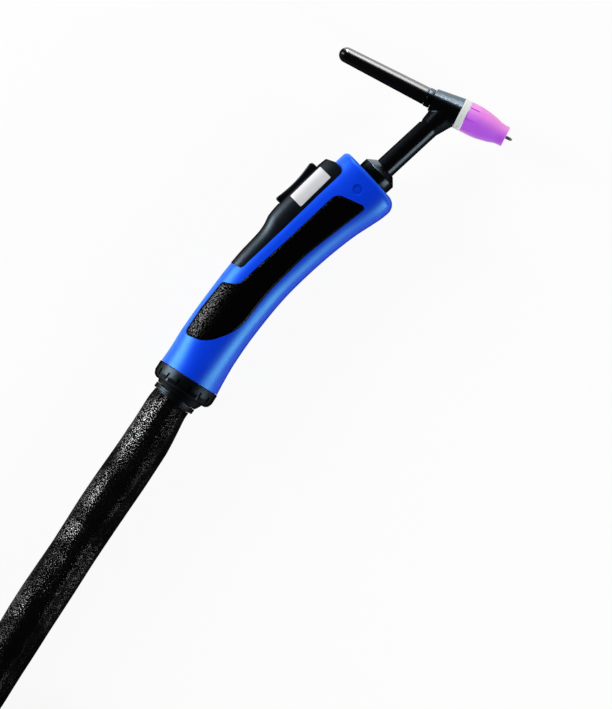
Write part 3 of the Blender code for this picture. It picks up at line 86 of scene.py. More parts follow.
# %% Wires
class Wire:
    """One output of a node, which Python's signs can reckon with."""

    def __init__(self, nodes, socket):
        self.nodes, self.socket = nodes, socket

    def reckon(self, operation, *terms):
        """Adds a Math node with this operation on wires or numbers."""
        return self.nodes.node("ShaderNodeMath", {"operation": operation}, dict(enumerate(terms)))[0]

    def __add__(self, other):
        return self.reckon("ADD", self, other)

    def __radd__(self, other):
        return self.reckon("ADD", other, self)

    def __sub__(self, other):
        return self.reckon("SUBTRACT", self, other)

    def __rsub__(self, other):
        return self.reckon("SUBTRACT", other, self)

    def __mul__(self, other):
        return self.reckon("MULTIPLY", self, other)

    def __rmul__(self, other):
        return self.reckon("MULTIPLY", other, self)

    def largest(self, other):
        """The larger of two values."""
        return self.reckon("MAXIMUM", self, other)

    def between(self, low, high):
        """0 where the value is under low, 1 where it is over high, and eased from one to the other."""
        eased = {"interpolation_type": "SMOOTHSTEP"}
        return self.nodes.node("ShaderNodeMapRange", eased, {"Value": self, "From Min": low, "From Max": high})[0]


# %% [markdown]
# A finish holds the nodes of one material, and its methods are the patterns that this torch needs.
# Two methods carry much of the torch's look. `faces` says which way the skin looks in the piece's own space, so a
# piece can shine on one long side and stay dull on the other, wherever the camera stands. `over_dull` lets a dull
# skin take over where the surface turns away from the eye. A glossy surface mirrors its surroundings most there,
# and the white bench would put a grey rim round everything black.

# %% Finishes
GENERATED, SKIN_NORMAL, OBJECT_PLACE = 0, 1, 3  # outputs of a Texture Coordinate node
MIX_SHARE, MIX_LOW, MIX_HIGH, MIX_COLOUR = 0, 6, 7, 2  # inputs and output of a Mix node for colours
FACING = 1  # output of a Layer Weight node
DULL_ROUGHNESS = 0.8


class Finish:
    """The nodes of one material or of the world."""

    def __init__(self, tree):
        self.tree = tree
        self.skin = tree.nodes.get("Principled BSDF")

    def node(self, kind, settings=None, sockets=None):
        """Adds a node and gives its outputs back as wires."""
        made = self.tree.nodes.new(kind)
        for name, value in (settings or {}).items():
            setattr(made, name, value)
        for name, value in (sockets or {}).items():
            self.feed(made.inputs[name], value)
        return [Wire(self, output) for output in made.outputs]

    def feed(self, socket, value):
        """Links a wire or a socket, or writes a plain value."""
        if isinstance(value, Wire):
            self.tree.links.new(value.socket, socket)
        elif isinstance(value, bpy.types.NodeSocket):
            self.tree.links.new(value, socket)
        else:
            socket.default_value = (*value, 1.0) if socket.type == "RGBA" else value

    def set(self, **sockets):
        """Feeds the surface: Base_Color=… stands for the socket Base Color."""
        for name, value in sockets.items():
            self.feed(self.skin.inputs[name.replace("_", " ")], value)

    def show(self, shader):
        """Makes a shader the one that is seen."""
        self.feed(self.tree.nodes["Material Output"].inputs["Surface"], shader)

    def place(self):
        """Where a point of the piece lies, in metres. It moves with the piece."""
        return self.node("ShaderNodeTexCoord")[OBJECT_PLACE]

    def faces(self, axis):
        """Which way the skin looks: 0 is along the torch, 1 is across it, 2 is up from the bench. From -1 to 1."""
        return self.node("ShaderNodeSeparateXYZ", {}, {0: self.node("ShaderNodeTexCoord")[SKIN_NORMAL]})[axis]

    def stretched(self, x, y, z):
        """The place, squeezed or stretched along each axis."""
        return self.node("ShaderNodeMapping", {}, {"Vector": self.place(), "Scale": (x, y, z)})[0]

    def noise(self, size, detail=2.0, rough=0.5, place=None):
        """Soft noise from 0 to 1 whose patches are about size metres wide."""
        place = place or self.place()
        sockets = {"Vector": place, "Scale": 1.0 / size, "Detail": detail, "Roughness": rough}
        return self.node("ShaderNodeTexNoise", {}, sockets)[0]

    def pebbles(self, size, soft):
        """Rounded cells about size metres wide: 0 in the middle of a cell."""
        sockets = {"Vector": self.place(), "Scale": 1.0 / size, "Smoothness": soft}
        return self.node("ShaderNodeTexVoronoi", {"feature": "SMOOTH_F1"}, sockets)[0]

    def tone(self, mask, low, high):
        """A colour between two, as the mask says."""
        sockets = {MIX_SHARE: mask, MIX_LOW: low, MIX_HIGH: high}
        return self.node("ShaderNodeMix", {"data_type": "RGBA"}, sockets)[MIX_COLOUR]

    def relief(self, height, depth, under=None, strength=1.0):
        """The surface's normal where height (0 to 1) stands depth metres high."""
        sockets = {"Strength": strength, "Distance": depth, "Height": height}
        if under:
            sockets["Normal"] = under
        return self.node("ShaderNodeBump", {}, sockets)[0]

    def over_dull(self, colour, gloss=1.0, low=0.35, full=0.80, open_side=0.0):
        """Lays the finish over a dull skin, which takes over where the surface turns away from the eye.

        The finish starts to show at low and is full at full, as shares of looking straight at the eye. gloss is the
        share of the finish. Where open_side is 1, it doesn't give way at the edge."""
        dull = {"Base Color": colour, "Roughness": DULL_ROUGHNESS, "Specular IOR Level": 0.0}
        under = self.node("ShaderNodeBsdfPrincipled", {}, dull)[0]
        facing = 1.0 - self.node("ShaderNodeLayerWeight", {}, {"Blend": 0.5})[FACING]
        share = facing.between(low, full).largest(open_side) * gloss
        self.show(self.node("ShaderNodeMixShader", {}, {0: share, 1: under, 2: self.skin.outputs[0]})[0])


FINISHES = {}


def finish(name, **constants):
    """A new material, with the values that are the same all over it."""
    material = bpy.data.materials.new(name)
    material.use_nodes = True
    made = Finish(material.node_tree)
    made.set(**constants)
    FINISHES[name] = material
    print(f"finish {name}")
    return made

# %% [markdown]
# ## Bench and studio
# The background of the picture is plain white. The bench is a pale board: what the camera sees is mostly its own
# white, with a share of real light so that the torch keeps a soft shadow. Shiny pieces see it the same way.
# The room is bright low down and dim overhead. Straight above the torch there is nothing white to mirror, and that
# is what keeps black plastic black in the middle and bright along its edges.

# %% The bench
BENCH_REACH, BENCH_DROP = 14.0, 0.0002  # half its width, and how far it lies under the torch
OWN_WHITE = 0.93  # how much of what the eye sees of the bench is its own white
bench_mesh = bpy.data.meshes.new("bench")
square = [(x * BENCH_REACH, y * BENCH_REACH, -BENCH_DROP) for x, y in ((-1, -1), (1, -1), (1, 1), (-1, 1))]
bench_mesh.from_pydata(square, [], [(0, 1, 2, 3)])
bench = bpy.data.objects.new("bench", bench_mesh)
bpy.context.scene.collection.objects.link(bench)

paper = finish("bench_paper", Base_Color=(0.86, 0.86, 0.86), Roughness=0.9)
glow = paper.node("ShaderNodeEmission", {}, {"Color": (1.0, 1.0, 1.0), "Strength": 1.0})[0]
rays = paper.node("ShaderNodeLightPath")
to_camera, mirrored, seen_through = rays[0], rays[3], rays[6]
seen = to_camera.largest(mirrored).largest(seen_through)
paper.show(paper.node("ShaderNodeMixShader", {}, {0: seen * OWN_WHITE, 1: paper.skin.outputs[0], 2: glow})[0])
bench_mesh.materials.append(FINISHES["bench_paper"])

# %% [markdown]
# The highlights of the photo lie along the two long sides of the handle and along the upper sides of cap and head.
# Each of them is one low, long soft box that stands square to the side it lights.

# %% Room and lamps
LOW_ROOM, HIGH_ROOM, HIGH_FROM = (0.32, 0.33, 0.35), (0.020, 0.022, 0.025), 0.50
world = bpy.data.worlds.new("studio")
world.use_nodes = True
bpy.context.scene.world = world
room = Finish(world.node_tree)
up = room.node("ShaderNodeSeparateXYZ", {}, {0: room.node("ShaderNodeTexCoord")[GENERATED]})[2]
background = world.node_tree.nodes["Background"]
room.feed(background.inputs["Color"], room.tone(up.between(0.0, HIGH_FROM), LOW_ROOM, HIGH_ROOM))
background.inputs["Strength"].default_value = 1.0

AIM = Vector((0.0, 0.0, BENCH_TO_AXIS))
LAMP_DISTANCE = 1.3


def soft_box(name, heading, elevation, wide, tall, power):
    """An area lamp that looks at the torch from a heading, in degrees from the torch's own length."""
    lamp = bpy.data.lights.new(name, "AREA")
    lamp.shape = "RECTANGLE"
    lamp.size, lamp.size_y, lamp.energy = wide, tall, power
    turn, rise = math.radians(heading), math.radians(elevation)
    back = Vector((math.cos(turn) * math.cos(rise), math.sin(turn) * math.cos(rise), math.sin(rise)))
    stand = bpy.data.objects.new(name, lamp)
    stand.location = AIM + back * LAMP_DISTANCE
    stand.rotation_euler = back.to_track_quat("Z", "Y").to_euler()
    stand.visible_camera = False
    bpy.context.scene.collection.objects.link(stand)
    print(f"{name}: {power} W, {wide} x {tall} m at {elevation} degrees")


soft_box("switch_side_box", 103.0, 19.0, 0.34, 0.84, 19.0)
soft_box("palm_side_box", -87.0, 19.0, 0.24, 0.80, 13.0)
soft_box("cap_side_box", 18.0, 17.5, 0.20, 0.76, 1.9)
soft_box("head_side_box", 36.0, 17.5, 0.20, 0.76, 8.0)

# %% [markdown]
# ## How a piece joins the scene
# Each piece is a mesh or a curve whose points are already where they belong in the torch, so it needs no moving.
# `dress` links it, smooths it, gives it its finish and says which body of the model carries it and which CAD
# nodes it stands for.

# %% Dressing a piece
REAR_FACE = Vector((-0.1300, -0.0111, BENCH_TO_AXIS))  # the middle of the handle's rear face


def dress(obj, slot, body, *nodes, crease=35.0, finish_name=None):
    """Links a piece, smooths it and ties it to the model."""
    if obj.name not in bpy.context.scene.collection.objects:
        bpy.context.scene.collection.objects.link(obj)
    obj.data.materials.clear()
    obj.data.materials.append(FINISHES[finish_name or slot])
    if obj.type == "MESH":
        obj.data.shade_smooth()
        obj.data.set_sharp_from_angle(angle=math.radians(crease))
    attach(obj, body)
    if nodes:
        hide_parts(*nodes)
    size = len(obj.data.polygons) if obj.type == "MESH" else len(obj.data.splines[0].points)
    print(f"{obj.name}: {size} {'faces' if obj.type == 'MESH' else 'points'}, rides on {body}")
    return obj


def torch_point(x, y, z=0.0):
    """A point of the torch's own plane, x and y from the handle's rear face."""
    return REAR_FACE + Vector((x, y, z))


def bench_point(x, y, height):
    """A point of the hose's route, by its height above the bench."""
    return Vector((REAR_FACE.x + x, REAR_FACE.y + y, height))


def along(point, direction):
    """A place whose Z runs along a level direction and whose X points up from the bench."""
    ahead, rise = Vector(direction).normalized(), Vector((0.0, 0.0, 1.0))
    return Matrix.Translation(point) @ Matrix((rise, ahead.cross(rise), ahead)).transposed().to_4x4()


def level(degrees):
    """A level direction at an angle from the torch's length."""
    return math.cos(math.radians(degrees)), math.sin(math.radians(degrees)), 0.0


WELD_UNDER = 1e-7


def mesh_of(name, points, faces):
    """A new piece from points and faces, with doubled points welded and all faces looking out."""
    mesh = bpy.data.meshes.new(name)
    mesh.from_pydata(points, [], faces)
    shape = bmesh.new()
    shape.from_mesh(mesh)
    bmesh.ops.remove_doubles(shape, verts=shape.verts, dist=WELD_UNDER)
    bmesh.ops.recalc_face_normals(shape, faces=shape.faces)
    shape.to_mesh(mesh)
    shape.free()
    return bpy.data.objects.new(name, mesh)


# %% [markdown]
# ## The hose past the sleeve
# The photo cuts the leather sleeve off, but a real torch has about four metres of cable. What the photo doesn't
# show is put away: the slim rubber hose leaves the sleeve's cuff, winds into a neat two-layer coil and ends in its
# machine plug on top. A round curve with a bevel is the natural way to make a hose: one line of points, one radius.
# The route is the CAD model's own, read off a smooth curve at closer steps.

# %% Routes
HOSE_RADIUS = 0.0080
BALL_TAIL = 0.0145
GAP = 0.0003
SLEEVE_START_RADIUS = 0.0148
SLEEVE_RADIUS = 0.0169
CUFF_LENGTH = 0.0300
SLEEVE_ROUTE = (
    (-0.0202, -0.0021, 0.0234),
    (-0.0300, -0.0034, 0.0233),
    (-0.0500, -0.0078, 0.0224),
    (-0.0750, -0.0118, 0.0204),
    (-0.1000, -0.0154, 0.0186),
    (-0.1250, -0.0192, 0.0176),
    (-0.1500, -0.0232, 0.0172),
    (-0.1750, -0.0273, 0.0171),
    (-0.2000, -0.0316, 0.0171),
    (-0.2150, -0.0344, 0.0171),
    (-0.2500, -0.0405, 0.0171),
    (-0.2900, -0.0475, 0.0171),
    (-0.3300, -0.0550, 0.0171),
    (-0.3675, -0.0661, 0.0171),
    (-0.4009, -0.0866, 0.0171),
    (-0.4279, -0.1150, 0.0171),
    (-0.4466, -0.1494, 0.0171),
    (-0.4557, -0.1875, 0.0171),
    (-0.4547, -0.2266, 0.0171),
    (-0.4436, -0.2642, 0.0171),
    (-0.4231, -0.2976, 0.0172),
    (-0.3947, -0.3245, 0.0174),
    (-0.3603, -0.3432, 0.0177),
    (-0.3222, -0.3523, 0.0180),
    (-0.2893, -0.3522, 0.0180),
)
LEAD_IN_ROUTE = (
    (-0.2230, -0.3330, 0.0150),
    (-0.2050, -0.3090, 0.0120),
    (-0.1920, -0.2790, 0.0098),
    (-0.1850, -0.2480, 0.0088),
    (-0.1850, -0.2160, 0.0086),
)
LEAD_OUT_ROUTE = (
    (-0.2390, -0.1165, 0.0290),
    (-0.2650, -0.1018, 0.0332),
    (-0.2960, -0.0952, 0.0372),
    (-0.3270, -0.0972, 0.0408),
    (-0.3550, -0.1080, 0.0440),
    (-0.3790, -0.1262, 0.0466),
    (-0.3930, -0.1460, 0.0482),
)
ball_centre = Vector(joints["hose_swing"]["pos_m"])
BALL = along(ball_centre, level(184.5))
CUFF = along(bench_point(*SLEEVE_ROUTE[-1]), level(6.6))
PLUG = along(Vector(joints["union_nut_turn"]["pos_m"]), joints["union_nut_turn"]["axis"])


def smooth_route(points, spacing):
    """Points on a smooth curve through the route's own points, about spacing apart."""
    smooth = []
    for i in range(len(points) - 1):
        p0, p1, p2 = points[max(i - 1, 0)], points[i], points[i + 1]
        p3 = points[min(i + 2, len(points) - 1)]
        steps = max(1, round((p2 - p1).length / spacing))
        for k in range(steps):
            t = k / steps
            bend = (p2 - p0) * t + (2 * p0 - 5 * p1 + 4 * p2 - p3) * t**2 + (3 * p1 - p0 - 3 * p2 + p3) * t**3
            smooth.append(0.5 * (2 * p1 + bend))
    smooth.append(points[-1])
    return smooth


def length_of(points):
    """How long the line through the points is."""
    return sum((b - a).length for a, b in zip(points, points[1:]))


# %% [markdown]
# The coil spirals in through two and a half turns, climbs one layer in the half turn where it reverses, and
# spirals out again. One formula gives every point, so the turns keep their distance by themselves.

# %% The coil's middle line
COIL_CENTRE = (-0.3065, -0.2032)
COIL_MEAN_RADIUS = 0.0880
COIL_PITCH = 0.0169
TURNS_A_LAYER = 2.5
CLIMB_TURNS = 0.5
COIL_START = math.radians(25.0)
STEPS_A_TURN = 44
HOSE_STEP = 0.008


def coil_line():
    """The coil's points, and a short straight run at either end of it."""
    outermost = COIL_MEAN_RADIUS + COIL_PITCH * TURNS_A_LAYER / 2
    points = []
    steps = round(2 * TURNS_A_LAYER * STEPS_A_TURN)
    for i in range(steps + 1):
        turn = 2 * TURNS_A_LAYER * i / steps
        inwards = abs((turn / TURNS_A_LAYER + 1) % 2 - 1)
        radius = outermost - COIL_PITCH * TURNS_A_LAYER * inwards
        climb = max(0.0, min(1.0, (turn - TURNS_A_LAYER + CLIMB_TURNS / 2) / CLIMB_TURNS))
        angle = COIL_START + math.tau * turn
        x, y = COIL_CENTRE[0] + radius * math.cos(angle), COIL_CENTRE[1] + radius * math.sin(angle)
        points.append(bench_point(x, y, HOSE_RADIUS + GAP + COIL_PITCH * climb))
    first, last = (points[0] - points[1]).normalized(), (points[-1] - points[-2]).normalized()
    return [points[0] + first * 2 * HOSE_RADIUS] + points + [points[-1] + last * 2 * HOSE_RADIUS]


coil = coil_line()
into = (coil[1] - coil[0]).normalized()
lead_in = [CUFF @ Vector((0.0, 0.0, CUFF_LENGTH + GAP + d)) for d in (0.0, HOSE_RADIUS)]
lead_in += [bench_point(*place) for place in LEAD_IN_ROUTE]
lead_in += [coil[0] - into * (GAP + 2 * HOSE_RADIUS), coil[0] - into * GAP]
out = (coil[-1] - coil[-2]).normalized()
lead_out = [coil[-1] + out * GAP, coil[-1] + out * HOSE_RADIUS]
lead_out += [bench_point(*place) for place in LEAD_OUT_ROUTE]
lead_out += [PLUG @ Vector((0.0, 0.0, d)) for d in (-2 * HOSE_RADIUS, -GAP)]
hose_line = smooth_route(lead_in, HOSE_STEP)[:-1] + coil + smooth_route(lead_out, HOSE_STEP)[1:]
print(f"hose {length_of(hose_line):.3f} m in {len(hose_line)} points")

# %% [markdown]
# The hose's rubber is extruded: matt, a little dusty, with a fine skin and slow changes of polish where it has
# rubbed along the floor.

# %% The hose and its rubber
def round_hose(name, points, radius):
    """A curve through the points, as thick as the hose."""
    curve = bpy.data.curves.new(name, "CURVE")
    curve.dimensions = "3D"
    curve.bevel_depth = radius
    curve.bevel_resolution = 6
    curve.use_fill_caps = True
    curve.twist_mode = "Z_UP"
    spline = curve.splines.new("POLY")
    spline.points.add(len(points) - 1)
    for place, point in zip(points, spline.points):
        point.co = (*place, 1.0)
    spline.use_smooth = True
    return bpy.data.objects.new(name, curve)


rubber = finish("hose_rubber", Metallic=0.0, Specular_IOR_Level=0.35)
dust = rubber.noise(0.035, 3.0, 0.6)
skin = rubber.noise(0.0012, 2.0, 0.6)
rubber.set(
    Base_Color=rubber.tone(dust.between(0.45, 0.75), (0.012, 0.012, 0.013), (0.030, 0.030, 0.031)),
    Roughness=0.42 + 0.20 * dust,
    Normal=rubber.relief(skin, 0.00006),
)
hose = round_hose("rubber_hose", hose_line, HOSE_RADIUS)
dress(hose, "hose_rubber", "hose", "hose_lead_in", "hose_coil", "hose_lead_out")

# %% [markdown]
# ## The leather sleeve
# On the real torch a long strip of black leather is wrapped round hose and switch lead and closed along its
# length, so it never looks like a pipe. It is narrow where the clamp ring gathers it, it swells and sinks every few
# centimetres, and its overlapping edge runs down one side as a soft ridge. A bevelled curve can't do that. Here the
# tube is made ring by ring, and each point's distance from the middle line is a sum of those slow shapes. Its
# underside is pressed flat where it rests on the bench.

# %% The sleeve's form
SLEEVE_AROUND = 120
SLEEVE_STEP = 0.0022
BENCH_TOP = 0.0003  # where the leather is pressed flat
ROOM_TO_SWELL = 0.00035  # the tube is drawn in by this, so that its swells stay within the full radius
FOLD_DEPTH, SWELL_DEPTH, TWIST_DEPTH = 0.00038, 0.00016, 0.00024
PLEATS, PLEAT_DEPTH, PLEAT_FADE, RING_FADE = 13, 0.00028, 0.016, 0.030
LAP_STEP, VALLEY_DEPTH, RIDGE_HEIGHT = 0.00075, 0.00065, 0.00040
sleeve_route = [bench_point(*place) for place in SLEEVE_ROUTE]
sleeve_route[0] = BALL @ Vector((0.0, 0.0, BALL_TAIL + GAP))
sleeve_route.insert(1, BALL @ Vector((0.0, 0.0, BALL_TAIL + GAP + SLEEVE_START_RADIUS / 3)))
sleeve_route.insert(-1, CUFF @ Vector((0.0, 0.0, -SLEEVE_RADIUS / 2)))
sleeve_line = smooth_route(sleeve_route, SLEEVE_STEP)
print(f"sleeve {length_of(sleeve_line):.3f} m long")


def bump_at(distance, centre, reach):
    """1 at the centre, fading within about reach of it."""
    return math.exp(-(((distance - centre) / reach) ** 2))


def turned_by(angle, centre):
    """How far an angle is from another, from -pi to pi."""
    return (angle - centre + math.pi) % math.tau - math.pi


def sleeve_radius(run, angle):
    """The leather's distance from the middle line. Angle 0 is the torch's switch side and a quarter turn is up."""
    base = SLEEVE_START_RADIUS + (SLEEVE_RADIUS - SLEEVE_START_RADIUS) * min(1.0, run / (2 * SLEEVE_RADIUS))
    folds = FOLD_DEPTH * math.sin(run / 0.0046 + 1.1 + 1.6 * math.sin(run / 0.021))
    swell = folds * bump_at(turned_by(angle, 0.95), 0.0, 0.55)
    swell += SWELL_DEPTH * math.sin(run / 0.0147 + 2.0 * math.cos(angle) + 0.4)
    swell += TWIST_DEPTH * math.sin(6.0 * angle - run / 0.0150 + 0.6)
    away_from_ring = 1.0 - math.exp(-run / RING_FADE)
    pleats = PLEAT_DEPTH * math.cos(PLEATS * angle + 1.0) * math.exp(-run / PLEAT_FADE)
    seam = 2.15 + 0.62 * math.exp(-run / 0.11) - 0.22 * math.sin(run / 0.075)
    off = turned_by(angle, seam) * SLEEVE_RADIUS
    lap = LAP_STEP * (1.0 / (1.0 + math.exp(off / 0.00065)) - 0.5) * bump_at(off, 0.0, 0.010)
    valley = -VALLEY_DEPTH * bump_at(off, 0.0042, 0.0036)
    ridge = RIDGE_HEIGHT * bump_at(off, -0.0052, 0.0042)
    edge = (lap + valley + ridge) * (0.35 + 0.65 * away_from_ring)
    return base - ROOM_TO_SWELL + swell * away_from_ring + pleats + edge


def lofted(name, rings):
    """A closed body through rings of points, capped at both ends."""
    count = len(rings[0])
    faces = [tuple(reversed(range(count))), tuple(len(rings) * count - count + k for k in range(count))]
    for i in range(len(rings) - 1):
        for k in range(count):
            near, far = k, (k + 1) % count
            faces.append((i * count + near, i * count + far, (i + 1) * count + far, (i + 1) * count + near))
    return mesh_of(name, [point for ring in rings for point in ring], faces)


def leather_tube(name, points):
    """A tube of rings along the points, closed at both ends."""
    rings, run = [], 0.0
    for i, point in enumerate(points):
        if i:
            run += (point - points[i - 1]).length
        ahead = (points[min(i + 1, len(points) - 1)] - points[max(i - 1, 0)]).normalized()
        side = ahead.cross(Vector((0.0, 0.0, 1.0))).normalized()
        rise = side.cross(ahead)
        ring = []
        for k in range(SLEEVE_AROUND):
            angle = math.tau * k / SLEEVE_AROUND
            place = point + (side * math.cos(angle) + rise * math.sin(angle)) * sleeve_radius(run, angle)
            place.z = max(place.z, BENCH_TOP)
            ring.append(place)
        rings.append(ring)
    return lofted(name, rings)


# %% [markdown]
# Leather is a relief before it is a colour: pebbles just under a millimetre wide, with a fine grain over them and
# slow creases under them. Its shine is broken. Only the tops of the pebbles are polished, more in some patches
# than in others, and all the rest is a dull black skin. The shine is turned down on the side away from the switch,
# where less light falls: painted shade. So two skins are mixed, with the pebble tops as the mask, and a highlight
# turns into a scatter of bright specks.

# %% Leather
leather = finish("leather", Specular_IOR_Level=1.0, IOR=1.75)
cells = leather.pebbles(0.00094, 0.25)
fine = leather.noise(0.00080, 0.5, 0.5)
creases = leather.noise(0.006, 4.0, 0.6)
tops = 1.0 - cells
worn = leather.noise(0.022, 2.0, 0.5).between(0.45, 0.70)
polished = leather.noise(0.032, 1.0, 0.5).between(0.40, 0.62)
leather.set(
    Base_Color=leather.tone(worn * 0.7 + 0.3 * fine, (0.0010, 0.0010, 0.0011), (0.0032, 0.0032, 0.0036)),
    Roughness=0.30 - 0.10 * tops,
    Normal=leather.relief(tops * 0.7 + fine * 0.8, 0.00023, leather.relief(creases, 0.0008, None, 0.6)),
)
glints = (tops * 0.5 + fine * 0.5).between(0.50, 0.66)
# The glints are turned down on the side away from the switch, where less light falls: painted shade.
lit_side_shine = 0.16 + 0.84 * leather.faces(1).between(-0.5, 0.5)
specks = glints * (0.14 + 0.86 * polished) * lit_side_shine
leather.over_dull((0.0020, 0.0020, 0.0023), specks, 0.0, 0.85, leather.faces(1).between(0.55, 0.85))
sleeve = dress(leather_tube("wrapped_leather", sleeve_line), "leather", "hose", "leather_sleeve", crease=60.0)

# %% [markdown]
# ## Turned pieces
# Cap, nozzle, rings, nut and plug are round, so each is a side view swept once round its axis. Real turned and
# moulded edges are never knife sharp: a small arc at each corner of the side view catches a thin line of light
# that tells the eye how hard and how thick the piece is. The same rounding serves flat outlines.

# %% Rounded outlines and turned solids
AROUND = 112
OUTLINE_STEP, PROFILE_STEP = 12.0, 18.0  # degrees between two points of an arc
LONGEST_SHARE = 0.47  # of a side, which one corner's arc may use
NEARLY_STRAIGHT = math.radians(89.5)  # half the angle at a corner that needs no arc
ON_AXIS = 1e-9


def rounded(corners, step_degrees=OUTLINE_STEP):
    """A closed outline through corners of (x, y, radius), with an arc at each corner that has a radius."""
    outline = []
    for i, (x, y, radius) in enumerate(corners):
        here = Vector((x, y))
        back = Vector(corners[i - 1][:2]) - here
        ahead = Vector(corners[(i + 1) % len(corners)][:2]) - here
        half = back.angle(ahead) / 2
        if radius <= 0.0 or half > NEARLY_STRAIGHT:
            outline.append(here)
            continue
        reach = min(radius / math.tan(half), LONGEST_SHARE * back.length, LONGEST_SHARE * ahead.length)
        used = reach * math.tan(half)
        middle = here + (back.normalized() + ahead.normalized()).normalized() * (used / math.sin(half))
        start = here + back.normalized() * reach - middle
        sweep = start.angle_signed(here + ahead.normalized() * reach - middle)
        steps = max(3, math.ceil(abs(math.degrees(sweep)) / step_degrees))
        outline += [middle + Matrix.Rotation(-sweep * k / steps, 2) @ start for k in range(steps + 1)]
    return outline


def turned(name, corners, place, around=AROUND):
    """A solid of revolution from corners of (along, radius, rounding). A corner of radius 0 lies on the axis."""
    profile = rounded(corners, PROFILE_STEP)
    points, faces = [], []
    for spot in profile:
        for k in range(around):
            angle = math.tau * k / around
            points.append(place @ Vector((spot.y * math.cos(angle), spot.y * math.sin(angle), spot.x)))
    for i in range(len(profile)):
        j = (i + 1) % len(profile)
        if profile[i].y < ON_AXIS and profile[j].y < ON_AXIS:
            continue
        for k in range(around):
            near, far = k, (k + 1) % around
            faces.append((i * around + near, i * around + far, j * around + far, j * around + near))
    return mesh_of(name, points, faces)


def rod(name, low, high, radius, place, around):
    """A plain cylinder along the place's axis, to cut with or to build on."""
    return turned(name, [(low, 0, 0), (low, radius, 0), (high, radius, 0), (high, 0, 0)], place, around)


# %% [markdown]
# Bores, notches and pockets are cut by exact Booleans. Each tool is a simple closed form that runs past the wall
# it cuts, which is what keeps such cuts clean, and it is thrown away afterwards.

# %% Cutting tools
def settled(obj):
    """Applies what modifiers a piece has."""
    bpy.context.view_layer.update()
    done = bpy.data.meshes.new_from_object(obj.evaluated_get(bpy.context.evaluated_depsgraph_get()))
    obj.modifiers.clear()
    obj.data = done
    return obj


def carved(obj, *tools, how="DIFFERENCE"):
    """Cuts a piece with tools, joins them to it or keeps what is inside them, and puts the tools away."""
    for each in (obj, *tools):
        if each.name not in bpy.context.scene.collection.objects:
            bpy.context.scene.collection.objects.link(each)
    for tool in tools:
        step = obj.modifiers.new(tool.name, "BOOLEAN")
        step.operation, step.solver, step.object = how, "EXACT", tool
    settled(obj)
    for tool in tools:
        bpy.data.objects.remove(tool, do_unlink=True)
    return obj


def bars_round(name, count, inner, outer, width, low, high, place, start=0.5):
    """Straight bars set round an axis, to cut notches and grooves with."""
    points, faces = [], []
    for i in range(count):
        turn = Matrix.Rotation(math.tau * (i + start) / count, 4, "Z")
        first = len(points)
        for z in (low, high):
            for x, y in ((inner, -width / 2), (outer, -width / 2), (outer, width / 2), (inner, width / 2)):
                points.append(place @ turn @ Vector((x, y, z)))
        for quad in ((0, 3, 2, 1), (4, 5, 6, 7), (0, 1, 5, 4), (1, 2, 6, 5), (2, 3, 7, 6), (3, 0, 4, 7)):
            faces.append(tuple(first + corner for corner in quad))
    return mesh_of(name, points, faces)


# %% [markdown]
# ## Black plastic
# Nut, switch case, rocker and clamp ring are glass-filled nylon: deep black, with a satin skin that shows a
# hair-fine grain in the highlight. Black plastic is all reflection, so its finish is in the roughness and the
# relief, and the colour only gets a breath of dust. The side towards the switch is the one that shines; the shine
# turned down on the other side is painted shade.

# %% Black plastic
black = finish("black_plastic", Specular_IOR_Level=0.37, Specular_Tint=(0.58, 0.80, 1.0))
grain = black.noise(0.0009, 2.0, 0.6)
handled = black.noise(0.012, 3.0, 0.55)
black.set(
    Base_Color=black.tone(handled.between(0.35, 0.8), (0.0010, 0.0011, 0.0013), (0.0030, 0.0033, 0.0040)),
    Roughness=0.27 + 0.10 * handled + 0.05 * grain,
    Normal=black.relief(grain, 0.000110),
)
# The shine is turned down on the side away from the switch, where less light falls: painted shade.
black.over_dull((0.0018, 0.0019, 0.0022), 0.30 + 0.70 * black.faces(1).between(-0.3, 0.3), 0.25, 0.75)

# %% [markdown]
# The long cap is polished: one even, sharp-edged band of light lies on its front side, right up to its rim, and
# the rest is black. The head's moulding is silicone with slow waves in it and a cooler, softer light on the side
# that looks forwards and up. In both, the mask that opens the gloss is simply where the skin looks.

# %% Polished cap and rubber moulding
glossy = finish("cap_gloss", Specular_IOR_Level=1.0, IOR=2.2)
wiped = glossy.noise(0.010, 3.0, 0.55)
glossy.set(
    Base_Color=glossy.tone(wiped, (0.0010, 0.0010, 0.0012), (0.0028, 0.0028, 0.0032)),
    Roughness=0.24 + 0.05 * wiped,
    Normal=glossy.relief(wiped, 0.00002),
)
cap_band = glossy.faces(0).between(0.15, 0.45)
glossy.over_dull((0.0018, 0.0018, 0.0020), 0.05 + 0.95 * cap_band, 0.45, 0.85, cap_band)

moulding = finish("moulding", Specular_IOR_Level=0.90, IOR=2.1, Specular_Tint=(0.66, 0.84, 1.0))
silky = moulding.noise(0.0012, 3.0, 0.6)
waves = moulding.noise(0.009, 2.0, 0.5)
moulding.set(
    Base_Color=moulding.tone(waves, (0.0009, 0.0009, 0.0010), (0.0025, 0.0025, 0.0028)),
    Roughness=0.17 + 0.08 * waves + 0.04 * silky,
    Normal=moulding.relief(silky, 0.00002, moulding.relief(waves, 0.00012)),
)
head_band = moulding.faces(0).between(0.0, 0.45) * moulding.faces(1).between(-0.35, 0.30)
moulding.over_dull((0.0014, 0.0014, 0.0016), 0.05 + 0.95 * head_band, 0.30, 0.80, head_band)

# %% [markdown]
# ## The handle
# Two blue half shells meet on the torch's middle plane. The handle is fat and flat-sided at the switch, slim in
# the hand and round where the nut screws on. That form is easiest to say as a few stations along the length, each
# a superellipse: an ellipse whose power makes it squarer. A smooth cubic runs through the stations, and the rings
# lean with the curve of the grip. A subdivision cage could give the same form, but its sizes couldn't be read.

# %% The grip's form
HANDLE_LENGTH = 0.1891
REAR_TILT, FRONT_TILT = 10.0, -4.8
WALL = 0.0030
FRONT_FILLET, CHIN_FILLET = 0.0035, 0.0085
RING_POINTS, RING_COUNT = 112, 96
FORM_POINTS = 288  # of the superellipse, before its points are set at even steps
